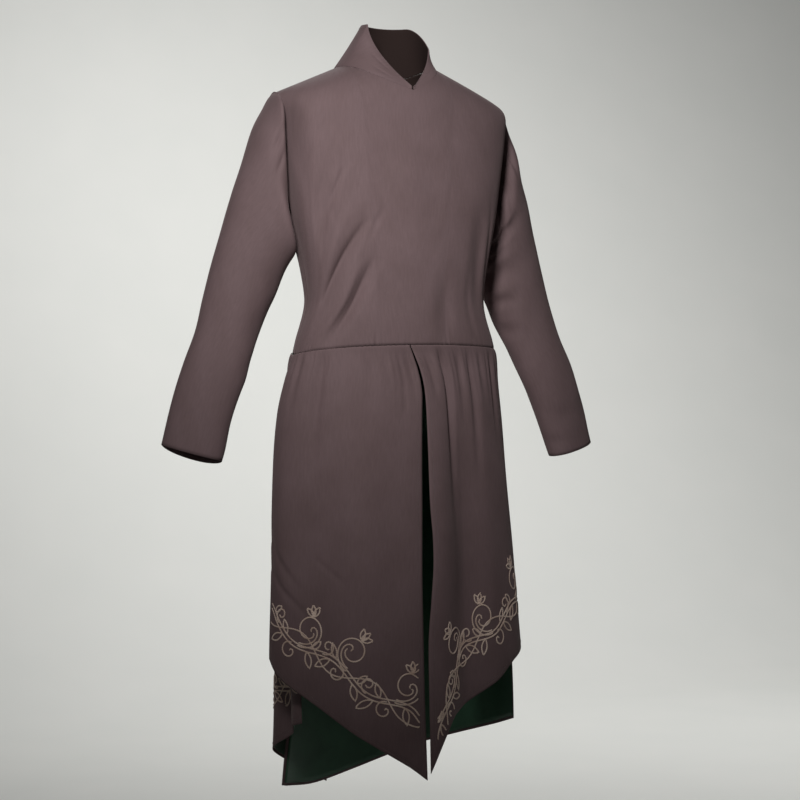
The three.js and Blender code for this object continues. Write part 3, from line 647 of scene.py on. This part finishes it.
def cloth(name, grid, thickness, material, flip=False, ring=False):
    rows, columns = grid.shape[:2]
    bm = bmesh.new()
    bmesh.ops.create_grid(bm, x_segments=columns - 1, y_segments=rows - 1, size=0.5)
    places = {}
    for vert in bm.verts:
        i = round((0.5 - vert.co.y) * (rows - 1))
        j = round((0.5 + vert.co.x) * (columns - 1))
        places[vert.index] = (i, j)
        vert.co = grid[i, j] * MM
    run_across = (arc(grid, 1) - arc(grid, 1)[:, -1:] / 2) * MM
    run_down = arc(grid, 0) * MM
    layer = bm.loops.layers.uv.new("grain")
    for face in bm.faces:
        for loop in face.loops:
            i, j = places[loop.vert.index]
            loop[layer].uv = (run_across[i, j], -run_down[i, j])
    if ring:
        bmesh.ops.remove_doubles(bm, verts=bm.verts, dist=1e-6)
    if flip:
        bmesh.ops.reverse_faces(bm, faces=bm.faces)
    area = sum(face.calc_area() for face in bm.faces)
    piece = mesh_piece(name, bm)
    piece.data.materials.append(material)
    wall = piece.modifiers.new("wall", "SOLIDIFY")
    wall.thickness = thickness * MM
    wall.offset = -1
    span = np.linalg.norm(grid[:, 1:] - grid[:, :-1], axis=-1).sum(1).max() * MM
    drop = run_down.max()
    print(f"{name}: {rows} x {columns}, widest {span:.3f} m, longest {drop:.3f} m, area {area:.3f} m2")
    return piece


# %% [markdown]
# ## Materials
# The outer cloth is a worsted wool twill: fine diagonal ribs, a matt face and a faint bloom of
# fibre ends that catches light at a glancing angle. The lining is a smooth acetate. The vine is
# worked in a loosely twisted cotton thread, and the seams in plain spun polyester.

# %% One helper for colours and one for nodes
def srgb(code):
    parts = [int(code[k:k + 2], 16) / 255 for k in (1, 3, 5)]
    return (*[c / 12.92 if c <= 0.04045 else ((c + 0.055) / 1.055) ** 2.4 for c in parts], 1)


def add_node(material, kind, settings=(), links=()):
    """A key is the name of a property or of an input, or an input's number."""
    node = material.node_tree.nodes.new(kind)
    for key, value in dict(settings).items():
        if isinstance(key, int) or key in node.inputs:
            node.inputs[key].default_value = value
        else:
            setattr(node, key, value)
    for key, source in dict(links).items():
        material.node_tree.links.new(source, node.inputs[key])
    return node


def new_material(name):
    material = bpy.data.materials.new(name)
    material.use_nodes = True
    material.node_tree.nodes.clear()
    return material


# %% [markdown]
# ### Worsted twill
# A real twill rib is about 0.6 mm wide, too fine for a picture of the whole tunic, so it is drawn
# 1.6 mm wide and faint. On top come short slubs along the yarn and slow patches a hand wide, where
# dyed wool is never quite even.

# %% Outer cloth
def band_scale(millimetres):
    """Scale of a Wave Texture whose bands repeat after that many mm of UV, which is in metres."""
    return math.tau / (20 * millimetres * MM)


wool = new_material("worsted wool twill, woven and dyed")
grain = add_node(wool, "ShaderNodeUVMap", {"uv_map": "grain"})
lean = add_node(wool, "ShaderNodeMapping", {"Rotation": (0, 0, math.radians(58))},
                {"Vector": grain.outputs[0]})
rib = add_node(wool, "ShaderNodeTexWave", {"Scale": band_scale(1.6), "Distortion": 0.6, "Detail": 1.0},
               {"Vector": lean.outputs[0]})
yarn = add_node(wool, "ShaderNodeMapping", {"Scale": (1, 0.14, 1)}, {"Vector": grain.outputs[0]})
slub = add_node(wool, "ShaderNodeTexNoise", {"Scale": 1 / (3.2 * MM), "Detail": 3.0, "Roughness": 0.6},
                {"Vector": yarn.outputs[0]})
patch = add_node(wool, "ShaderNodeTexNoise", {"Scale": 1 / (85 * MM), "Detail": 2.0},
                 {"Vector": grain.outputs[0]})
dark, light = srgb("#655252"), srgb("#766264")
tone = add_node(wool, "ShaderNodeMix", {"data_type": "RGBA", 6: dark, 7: light}, {0: patch.outputs[0]})
rib_tone = add_node(wool, "ShaderNodeMapRange", {"To Min": 0.93, "To Max": 1.06}, {0: rib.outputs[1]})
slub_tone = add_node(wool, "ShaderNodeMapRange",
                     {"From Min": 0.3, "From Max": 0.7, "To Min": 0.94, "To Max": 1.07},
                     {0: slub.outputs[0]})
shade = add_node(wool, "ShaderNodeMath", {"operation": "MULTIPLY"},
                 {0: rib_tone.outputs[0], 1: slub_tone.outputs[0]})
dyed = add_node(wool, "ShaderNodeVectorMath", {"operation": "SCALE"},
                {0: tone.outputs[2], "Scale": shade.outputs[0]})
height = add_node(wool, "ShaderNodeMath", {"operation": "MULTIPLY_ADD", 1: 0.6},
                  {0: slub.outputs[0], 2: rib.outputs[1]})
relief = add_node(wool, "ShaderNodeBump", {"Strength": 0.35, "Distance": 0.00025},
                  {"Height": height.outputs[0]})
surface = add_node(
    wool, "ShaderNodeBsdfPrincipled",
    {"Roughness": 0.82, "Specular IOR Level": 0.28, "Sheen Weight": 0.22, "Sheen Roughness": 0.45,
     "Sheen Tint": srgb("#b9a6a4")},
    {"Base Color": dyed.outputs[0], "Normal": relief.outputs[0]})
add_node(wool, "ShaderNodeOutputMaterial", {}, {"Surface": surface.outputs[0]})
print("made", wool.name)

# %% [markdown]
# ### Acetate lining
# Acetate satin is smooth and slippery. Its long threads on the face give a soft gloss, and light
# creases show as slightly paler lines.

# %% Lining
acetate = new_material("acetate satin lining, woven")
grain = add_node(acetate, "ShaderNodeUVMap", {"uv_map": "grain"})
yarn = add_node(acetate, "ShaderNodeMapping", {"Scale": (1, 0.05, 1)}, {"Vector": grain.outputs[0]})
thread_lines = add_node(acetate, "ShaderNodeTexNoise", {"Scale": 1 / (1.2 * MM), "Detail": 2.0},
                        {"Vector": yarn.outputs[0]})
crease = add_node(acetate, "ShaderNodeTexNoise", {"Scale": 1 / (48 * MM), "Detail": 3.0},
                  {"Vector": grain.outputs[0]})
tone = add_node(acetate, "ShaderNodeMix", {"data_type": "RGBA", 6: srgb("#2f4f3c"), 7: srgb("#446f55")},
                {0: crease.outputs[0]})
height = add_node(acetate, "ShaderNodeMath", {"operation": "MULTIPLY_ADD", 1: 0.25},
                  {0: thread_lines.outputs[0], 2: crease.outputs[0]})
relief = add_node(acetate, "ShaderNodeBump", {"Strength": 0.4, "Distance": 0.0012},
                  {"Height": height.outputs[0]})
surface = add_node(
    acetate, "ShaderNodeBsdfPrincipled",
    {"Roughness": 0.46, "Specular IOR Level": 0.4, "Sheen Weight": 0.15},
    {"Base Color": tone.outputs[2], "Normal": relief.outputs[0]})
add_node(acetate, "ShaderNodeOutputMaterial", {}, {"Surface": surface.outputs[0]})
print("made", acetate.name)

# %% [markdown]
# ### Dark inside walls, painted shade
# The inside of the stand collar and of the back bodice is coloured a dark brown with a faint plain weave:
# painted shade for the shadow inside the neck.

# %% Dark inside: painted shade
painted_shade_inside = new_material("dark inside cloth, painted shade")
grain = add_node(painted_shade_inside, "ShaderNodeUVMap", {"uv_map": "grain"})
weave = add_node(painted_shade_inside, "ShaderNodeTexNoise", {"Scale": 1 / (1.5 * MM), "Detail": 2.0},
                 {"Vector": grain.outputs[0]})
# two dark browns that paint the shade inside the collar and the back bodice
tone = add_node(painted_shade_inside, "ShaderNodeMix", {"data_type": "RGBA", 6: srgb("#2f2523"), 7: srgb("#40322f")},
                {0: weave.outputs[0]})
surface = add_node(painted_shade_inside, "ShaderNodeBsdfPrincipled", {"Roughness": 0.9, "Specular IOR Level": 0.15},
                   {"Base Color": tone.outputs[2]})
add_node(painted_shade_inside, "ShaderNodeOutputMaterial", {}, {"Surface": surface.outputs[0]})
print("made", painted_shade_inside.name)

# %% [markdown]
# ### Threads
# Embroidery cotton is two loosely twisted strands with a soft gloss. Each stitch is real geometry,
# so the material only needs the twist and a little unevenness in the dye. Sewing thread is the same
# idea in the colour of the cloth.

# %% Embroidery and sewing thread
def thread(name, low, high, roughness):
    made = new_material(name)
    where = add_node(made, "ShaderNodeTexCoord")
    twist = add_node(made, "ShaderNodeTexNoise", {"Scale": 1 / (1.4 * MM), "Detail": 2.0},
                     {"Vector": where.outputs["Object"]})
    dye = add_node(made, "ShaderNodeTexNoise", {"Scale": 1 / (26 * MM)}, {"Vector": where.outputs["Object"]})
    both = add_node(made, "ShaderNodeMath", {"operation": "MULTIPLY_ADD", 1: 0.5},
                    {0: twist.outputs[0], 2: dye.outputs[0]})
    share = add_node(made, "ShaderNodeMapRange", {"From Min": 0.5, "From Max": 1.0}, {0: both.outputs[0]})
    tone = add_node(made, "ShaderNodeMix", {"data_type": "RGBA", 6: srgb(low), 7: srgb(high)},
                    {0: share.outputs[0]})
    relief = add_node(made, "ShaderNodeBump", {"Strength": 0.5, "Distance": 0.0003},
                      {"Height": twist.outputs[0]})
    surface = add_node(
        made, "ShaderNodeBsdfPrincipled",
        {"Roughness": roughness, "Specular IOR Level": 0.5, "Sheen Weight": 0.3},
        {"Base Color": tone.outputs[2], "Normal": relief.outputs[0]})
    add_node(made, "ShaderNodeOutputMaterial", {}, {"Surface": surface.outputs[0]})
    return made


vine_thread = thread("embroidery cotton, twisted and mercerised", "#c6a897", "#ead3c3", 0.55)
sewing_thread = thread("spun polyester sewing thread", "#5a4848", "#6f5a5a", 0.7)
print("made", vine_thread.name, "and", sewing_thread.name)

# %% [markdown]
# ## Laying the sheets
# Each piece that a maker would cut is one sheet. The bodice columns crowd round the armholes, where
# the outline turns fastest. Side and shoulder seams are held to the plane between front and back.

# %% Bodice front and back
# shares of a half's columns that lie before the neck's end and before the shoulder's end
NECK_SHARE, SHOULDER_SHARE = 0.26, 0.60
BODICE_PUCKER, PUCKER_WIDTH, PUCKER_RISE = 0.6, 9.5, 16
BODICE_SWELL, BODICE_SEEDS = 0.8, {"front": 3, "back": 4}
BODICE_HALF_GIRTH = 300


def bodice_surface(face, rows=118, half_columns=84):
    a = np.linspace(0, 1, half_columns + 1)
    halves = []
    for handed, neck_side in zip((-1, 1), NECK_SIDES):
        neck = neck_side * np.sin(np.minimum(a / NECK_SHARE, 1) * np.pi / 2)
        share = np.clip((a - NECK_SHARE) / (SHOULDER_SHARE - NECK_SHARE), 0, 1)
        shoulder = neck_side + (TIP_SIDE - neck_side) * share
        arm = arm_side(np.clip((a - SHOULDER_SHARE) / (1 - SHOULDER_SHARE), 0, 1) * ARM_STEPS, handed)
        half = np.where(a < NECK_SHARE, neck, np.where(a < SHOULDER_SHARE, shoulder, arm))
        halves.append(handed * half)
    side = np.concatenate([halves[0][:0:-1], halves[1]])[None, :]
    v = np.linspace(0, 1, rows)[:, None]
    top = top_z(face, side)
    low = waist_z(side) + SEAM / 2
    z = top + (low - top) * (0.35 * v + 0.65 * v**1.5)
    p = bodice_point(face, side + 0 * z, z)
    above = z - low
    girth = side * BODICE_HALF_GIRTH
    waves = np.sin(math.tau * (girth / PUCKER_WIDTH + 0.4 * np.sin(girth / 23)))
    pucker = BODICE_PUCKER * np.exp(-above / PUCKER_RISE) * waves
    swell = BODICE_SWELL * ripple(girth + 0 * z, z, BODICE_SEEDS[face]) * smooth(above, 0, 60)
    p[..., 1] += outwards(face) * (SEAM / 2 + (pucker + swell) * smooth(top - z, 5, 70))
    if face == "front":
        for handed, reach in BODICE_CREASE.items():
            p = armhole_crease(p, handed, reach)
    return p


def hold_seam(grid, rows_table, face, lowest=-1e4):
    """Keeps a panel on its own side of the plane in which front and back are sewn together."""
    sign = outwards(face)
    seam = lookup(rows_table, "z", grid[..., 2], "middle") + sign * SEAM / 2
    held = sign * np.maximum(sign * grid[..., 1], sign * seam)
    grid[..., 1] = np.where(grid[..., 2] >= lowest, held, grid[..., 1])
    return grid


made = {}
for face in ("front", "back"):
    flip = face == "back"
    grid = turn_in(bodice_surface(face), flip, "b", 0.7, 2.0)
    grid = hold_seam(grid, BODY, face)
    made[f"bodice_{face}"] = cloth(f"cloth_bodice_{face}", grid, CLOTH, wool, flip)

# %% Sleeves
SLEEVE_SWELL, SLEEVE_GIRTH = 1.0, 400
for hand, handed in (("left", 1), ("right", -1)):
    grid = sleeve_surface(handed)
    flip = handed < 0
    swell = SLEEVE_SWELL * ripple(arc(grid, 1) % SLEEVE_GIRTH, arc(grid, 0), 7 + handed, 130)
    fade = smooth(arc(grid, 0), 10, 90) * bump(np.linspace(-1, 1, grid.shape[1]))[None, :] ** 0.3
    grid = grid - grid_normals(grid, flip) * (swell * fade)[..., None]
    grid = armhole_crease(grid, handed, SLEEVE_CREASE[handed])
    rolled = turn_in(grid, flip, "t", 1.0, 2.4)
    rolled[:, -1] = rolled[:, 0]
    made[f"sleeve_{hand}"] = cloth(f"cloth_sleeve_{hand}", rolled, CLOTH, wool, flip, ring=True)

# %% Collar
grid = turn_in(collar_surface(), False, "b", 0.4, 2.0)
made["collar"] = cloth("cloth_collar", grid, 2.0, wool)
# the inner walls of the collar and of the back bodice, and the back's rim, take the dark painted-shade
# material
for name in ("collar", "bodice_back"):
    made[name].data.materials.append(painted_shade_inside)
    made[name].modifiers["wall"].material_offset = 1
made["bodice_back"].modifiers["wall"].material_offset_rim = 1
soft_edge = made["collar"].modifiers.new("round edge", "SUBSURF")
soft_edge.levels = soft_edge.render_levels = 1

# %% Skirt panels and their linings
for key, panel in PANELS.items():
    flip = (panel["face"] == "front") != (panel["seam"] > 0)
    grid = turn_in(panel_surface(panel), flip, "t", 0.8, 2.0)
    grid = hold_seam(grid, SKIRT, panel["face"], panel["seamed"])
    made[f"skirt_{key}"] = cloth(f"cloth_skirt_{key}", grid, CLOTH, wool, flip)
    grid = panel_surface(panel, 90, 60, shorter=5, narrower=5)
    grid = grid - grid_normals(grid, flip) * LINING_INSET
    grid = hold_seam(grid, SKIRT, panel["face"], panel["seamed"])
    made[f"skirt_{key}_lining"] = cloth(f"lining_skirt_{key}", grid, LINING, acetate, flip)

# %% [markdown]
# ## Stitches
# One stitch is a slim bead laid along the seam. Rows of them are topstitching: 3.4 mm apart at the
# cuffs, the hems, the slit edges and the collar edge, where a maker holds a turned edge flat.

# %% A row of stitches
bm = bmesh.new()
bmesh.ops.create_uvsphere(bm, u_segments=6, v_segments=4, radius=1)
for face in bm.faces:
    face.smooth = True
BEAD = bpy.data.meshes.new("one stitch")
bm.to_mesh(BEAD)
bm.free()


def sample(marks, run, points):
    return np.stack([np.interp(marks, run, points[:, k]) for k in range(3)], -1)


def along(points, pitch):
    """Places and directions at an even pitch along a path of points in mm."""
    step = np.linalg.norm(np.diff(points, axis=0), axis=1)
    run = np.concatenate([[0], np.cumsum(step)])
    marks = np.arange(pitch / 2, run[-1], pitch)
    direction = sample(marks + 0.6, run, points) - sample(marks - 0.6, run, points)
    return marks, run, sample(marks, run, points), direction


def sew(bm, points, normals, pitch, length, width, rise, slant=0.0):
    """Lays copies of the bead end to end, each stretched and turned to the path and the cloth."""
    marks, run, place, direction = along(points, pitch)
    for centre, tangent, normal in zip(place, direction, sample(marks, run, normals)):
        up = Vector(normal).normalized()
        forward = Vector(tangent).normalized()
        forward = (forward - up * forward.dot(up)).normalized()
        lay = forward * math.cos(slant) + up.cross(forward) * math.sin(slant)
        middle = (Vector(centre) + up * rise * 0.35) * MM
        axes = (up.cross(lay) * (width / 2 * MM), up * (rise / 2 * MM), lay * (length / 2 * MM))
        place_bead = Matrix([[axis[r] for axis in axes] + [middle[r]] for r in range(3)] + [[0, 0, 0, 1]])
        bead = BEAD.copy()
        bead.transform(place_bead)
        bm.from_mesh(bead, face_normals=False, vertex_normals=False)
        bpy.data.meshes.remove(bead)
    return len(marks)


BODY_MIDDLE = -30


def panel_line(panel, t, z):
    """Points on a panel and the direction out of the cloth there."""
    h = 0.4
    p = panel_point(panel, t, z)
    slope_t = panel_point(panel, t + h / PANEL_WIDTH, z) - panel_point(panel, t - h / PANEL_WIDTH, z)
    slope_z = panel_point(panel, t, z + h) - panel_point(panel, t, z - h)
    normal = np.cross(slope_t, slope_z)
    normal /= np.linalg.norm(normal, axis=-1, keepdims=True)
    away = p - np.array([0, BODY_MIDDLE, 0])
    away[..., 2] = 0
    turn = np.sign((normal * away).sum(-1, keepdims=True))
    return p, normal * turn


# %% Topstitching
TOPSTITCH = dict(pitch=3.4, length=2.8, width=0.9, rise=0.7)
HEM_MARGIN, SLIT_MARGIN = 9, 0.022
CUFF_ROW, COLLAR_ROW = -7, 2
stitched = {}
for key, panel in PANELS.items():
    bm = bmesh.new()
    t = np.linspace(0.025, 0.985, 200)
    count = sew(bm, *panel_line(panel, t, lookup(panel["hem"], "t", t, "z") + HEM_MARGIN), **TOPSTITCH)
    z = np.linspace(-500, float(lookup(panel["hem"], "t", 0.02, "z")) + 12, 220)
    count += sew(bm, *panel_line(panel, 0 * z + SLIT_MARGIN, z), **TOPSTITCH)
    stitched[f"skirt_{key}"] = mesh_piece(f"topstitch_skirt_{key}", bm)
    print(key, "stitches:", count)

for hand in ("left", "right"):
    bm = bmesh.new()
    grid = sleeve_surface(1 if hand == "left" else -1)
    count = sew(bm, grid[CUFF_ROW], grid_normals(grid, hand == "right")[CUFF_ROW], **TOPSTITCH)
    stitched[f"sleeve_{hand}"] = mesh_piece(f"topstitch_sleeve_{hand}", bm)
    print("cuff stitches:", count)

bm = bmesh.new()
grid = collar_surface()
count = sew(bm, grid[COLLAR_ROW], grid_normals(grid, False)[COLLAR_ROW], **TOPSTITCH)
stitched["collar"] = mesh_piece("topstitch_collar", bm)
for piece in stitched.values():
    piece.data.materials.append(sewing_thread)
print("collar stitches:", count)

# %% [markdown]
# ## The embroidered vine
# A traditional scrolling vine runs above each slanted hem: crossing stems, scrolls, leaves and small
# three-leaved blooms. It is drawn flat, as on a pattern, in millimetres along the middle of the band
# and off it, and then each line is worked in short slanting stem stitches on the cloth.

# %% Lines of the vine
STEM_SWAY, STEM_WAVE, STEM_GAP, STEM_END = 9, 150, 3.5, 6
FIRST_SCROLL, SCROLL_PITCH, LAST_SCROLL = 66, 96, 34
SCROLL_RADIUS, TENDRIL_RADIUS, BLOOM_HEIGHT = 31, 14, 58
# leaves along the stem: offset from the scroll, side of the stem, turn, length, width
STEM_LEAVES = [
    (34, -1, 0.95, 30, 11),
    (-20, -1, 2.3, 27, 11),
    (26, 1, 0.8, 24, 9),
    (70, 1, 2.0, 20, 9),
]
PETAL_TURNS, PETAL_SIZE = (-0.8, -0.1, 0.6), (18, 8)


def stem_height(a, turned=1):
    return turned * STEM_SWAY * np.sin(math.tau * a / STEM_WAVE)


def stem_line(first, last, shift, turned=1):
    a = np.linspace(first, last, 220)
    h = stem_height(a, turned)
    slope = np.gradient(h, a)
    size = np.sqrt(1 + slope**2)
    return np.stack([a - shift * slope / size, h + shift / size], -1)


def scroll(a, hand, radius, turns, lean, inset=0.0):
    """A tendril that leaves the stem at a and curls up, hand 1, or down, hand -1."""
    s = np.linspace(0, 1, 110)
    angle = -hand * math.pi / 2 + lean * turns * math.tau * s
    reach = (radius - inset) * (1 - 0.9 * s**1.3)
    middle = (a + lean * 2 * s * radius * 0.2, stem_height(a) + hand * (radius + 1))
    return np.stack([middle[0] + reach * np.cos(angle), middle[1] + reach * np.sin(angle)], -1)


def leaf(a, h, direction, length, width):
    s = np.linspace(0, 1, 18)
    half = width / 2 * np.sin(np.pi * s) ** 0.8
    upper = np.stack([length * s, half], -1)
    outline = np.concatenate([upper, (upper * [1, -1])[::-1]])
    c, s = math.cos(direction), math.sin(direction)
    return outline @ np.array([[c, s], [-s, c]]) + np.array([a, h])


def vine(length):
    stems = ((STEM_GAP, 1), (-STEM_GAP, 1), (0, -1.6))
    lines = [stem_line(STEM_END, length - STEM_END, shift, turned) for shift, turned in stems]
    for k, a in enumerate(np.arange(FIRST_SCROLL, length - LAST_SCROLL, SCROLL_PITCH)):
        lean = 1 if k % 2 else -1
        lines.append(scroll(a, 1, SCROLL_RADIUS, 1.35, lean))
        lines.append(scroll(a, 1, SCROLL_RADIUS, 0.62, lean, 5.5))
        bloom = (a + lean * 4, stem_height(a) + BLOOM_HEIGHT)
        for turn in PETAL_TURNS:
            lines.append(leaf(*bloom, math.pi / 2 + turn + lean * 0.5, *PETAL_SIZE))
        lines.append(scroll(a + 50, 1, TENDRIL_RADIUS, 1.1, -lean))
        lines.append(scroll(a + 12, -1, TENDRIL_RADIUS, 1.2, lean))
        for offset, above, turn, size, width in STEM_LEAVES:
            place = (a + offset, stem_height(a + offset) + above * 4)
            lines.append(leaf(*place, above * turn, size, width))
    return lines


def on_axis(panel, line):
    """Carries a flat line onto the panel: along the middle of the band and squarely off it."""
    t = np.linspace(0, 1, 400)
    middle, _ = panel_line(panel, t, lookup(panel["axis"], "t", t, "z"))
    level = np.concatenate([[0], np.cumsum(np.linalg.norm(np.diff(middle[:, :2], axis=0), axis=1))])
    rise = middle[:, 2]
    run = np.concatenate([[0], np.cumsum(np.hypot(np.diff(level), np.diff(rise)))])
    a = line[:, 0]
    x = np.interp(a, run, level)
    z = np.interp(a, run, rise)
    ahead_x = np.interp(a + 20, run, level) - np.interp(a - 20, run, level)
    ahead_z = np.interp(a + 20, run, rise) - np.interp(a - 20, run, rise)
    size = np.hypot(ahead_x, ahead_z)
    x = x - line[:, 1] * ahead_z / size
    z = z + line[:, 1] * ahead_x / size
    outside = (x < 0) | (x > level[-1])
    return np.where(outside, -1, np.interp(x, level, t)), z, run[-1]


def stretches(keep):
    """First and last places of each unbroken stretch of True."""
    edges = np.flatnonzero(np.diff(np.concatenate([[0], keep.astype(int), [0]])))
    return list(zip(edges[::2], edges[1::2]))


# %% Work the vine in stem stitch
STEM_STITCH = dict(pitch=3.6, length=5.6, width=2.9, rise=1.4, slant=0.30)
VINE_MARGIN, VINE_HEM_MARGIN = 0.03, 14
for key, panel in PANELS.items():
    bm = bmesh.new()
    _, _, band_length = on_axis(panel, np.zeros((2, 2)))
    count = 0
    for line in vine(band_length):
        t, z, _ = on_axis(panel, line)
        hem = lookup(panel["hem"], "t", np.clip(t, 0, 1), "z")
        keep = (t > VINE_MARGIN) & (t < 1 - VINE_MARGIN) & (z > hem + VINE_HEM_MARGIN)
        points, normals = panel_line(panel, t, z)
        for first, last in stretches(keep):
            if last - first > 3:
                count += sew(bm, points[first:last], normals[first:last], **STEM_STITCH)
    piece = mesh_piece(f"vine_skirt_{key}", bm)
    piece.data.materials.append(vine_thread)
    stitched[f"vine_{key}"] = piece
    print(key, "band", round(band_length), "mm, stem stitches:", count)

# %% [markdown]
# ## What each sheet was cut from
# Each sheet's cut rectangle and flat area are listed here. The loop below hides the solid under each sheet,
# gathers its stitches and looks these numbers up, but does nothing more with them.

CUTS = {
    "bodice_front": ((0.60, 0.56), 0.232), "bodice_back": ((0.56, 0.55), 0.217),
    "sleeve_left": ((0.42, 0.66), 0.172), "sleeve_right": ((0.42, 0.66), 0.172),
    "collar": ((0.46, 0.13), 0.030),
    "skirt_front_right": ((0.31, 0.74), 0.175), "skirt_front_left": ((0.31, 0.72), 0.173),
    "skirt_back_right": ((0.40, 0.79), 0.224), "skirt_back_left": ((0.50, 0.79), 0.280),
}
for name, (flat, area) in list(CUTS.items()):
    if name.startswith("skirt"):
        CUTS[name + "_lining"] = (flat, area * 0.97)

for name, piece in made.items():
    lining = name.endswith("lining")
    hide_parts(name)
    extras = [] if lining else [stitched[k] for k in (name, name.replace("skirt", "vine")) if k in stitched]
    flat, area = CUTS[name]
    list(dict.fromkeys(extras))

# %% [markdown]
# ## The studio
# A pale floor curves up into a wall behind, so there is no corner in view. A soft light with a
# honeycomb grid hangs above and in front. It is close and narrow, so the chest is brighter than the
# hem. A weak one fills the shadow side, and one from behind shows the back.

# %% Floor and wall in one sweep
FLOOR_Z, FLOOR_HALF = -1.95, 9
WALL_START, WALL_CURVE = 4.5, 0.45
bm = bmesh.new()
bmesh.ops.create_grid(bm, x_segments=40, y_segments=60, size=FLOOR_HALF)
for vert in bm.verts:
    back = max(vert.co.y - WALL_START, 0)
    vert.co.z = FLOOR_Z + back**2 * WALL_CURVE
sweep = bpy.data.meshes.new("studio_sweep")
for face in bm.faces:
    face.smooth = True
bm.to_mesh(sweep)
bm.free()
sweep_object = bpy.data.objects.new("studio_sweep", sweep)
bpy.context.scene.collection.objects.link(sweep_object)
paper = new_material("matt background paper")
where = add_node(paper, "ShaderNodeTexCoord")
fibre = add_node(paper, "ShaderNodeTexNoise", {"Scale": 3.0}, {"Vector": where.outputs["Object"]})
tone = add_node(paper, "ShaderNodeMix", {"data_type": "RGBA", 6: srgb("#d9dad6"), 7: srgb("#dededa")},
                {0: fibre.outputs[0]})
surface = add_node(paper, "ShaderNodeBsdfPrincipled", {"Roughness": 0.95, "Specular IOR Level": 0.1},
                   {"Base Color": tone.outputs[2]})
add_node(paper, "ShaderNodeOutputMaterial", {}, {"Surface": surface.outputs[0]})
sweep.materials.append(paper)


# %% Lights
def soft_light(name, place, target, size, power, spread=180):
    data = bpy.data.lights.new(name, "AREA")
    data.spread = math.radians(spread)
    data.shape = "RECTANGLE"
    data.size, data.size_y = size
    data.energy = power
    lamp = bpy.data.objects.new(name, data)
    lamp.location = place
    lamp.rotation_mode = "QUATERNION"
    lamp.rotation_quaternion = (Vector(target) - Vector(place)).to_track_quat("-Z", "Y")
    bpy.context.scene.collection.objects.link(lamp)


soft_light("key", (-0.95, -1.55, 0.42), (-0.02, 0, -0.27), (0.35, 0.35), 3.05, 52)
soft_light("fill", (2.2, -1.6, 0.3), (0, 0, -0.3), (1.0, 1.0), 0.8, 120)
soft_light("back", (0.6, 2.4, 1.5), (0, 0, -0.5), (1.4, 0.9), 11, 120)
soft_light("wall", (1.9, 2.8, 2.4), (4.2, 6.0, -0.6), (5.0, 1.5), 240)
world = bpy.data.worlds.new("studio")
world.use_nodes = True
world.node_tree.nodes["Background"].inputs["Color"].default_value = srgb("#e6e6e4")
world.node_tree.nodes["Background"].inputs["Strength"].default_value = 0.05
bpy.context.scene.world = world
bpy.context.scene.view_settings.view_transform = "Standard"
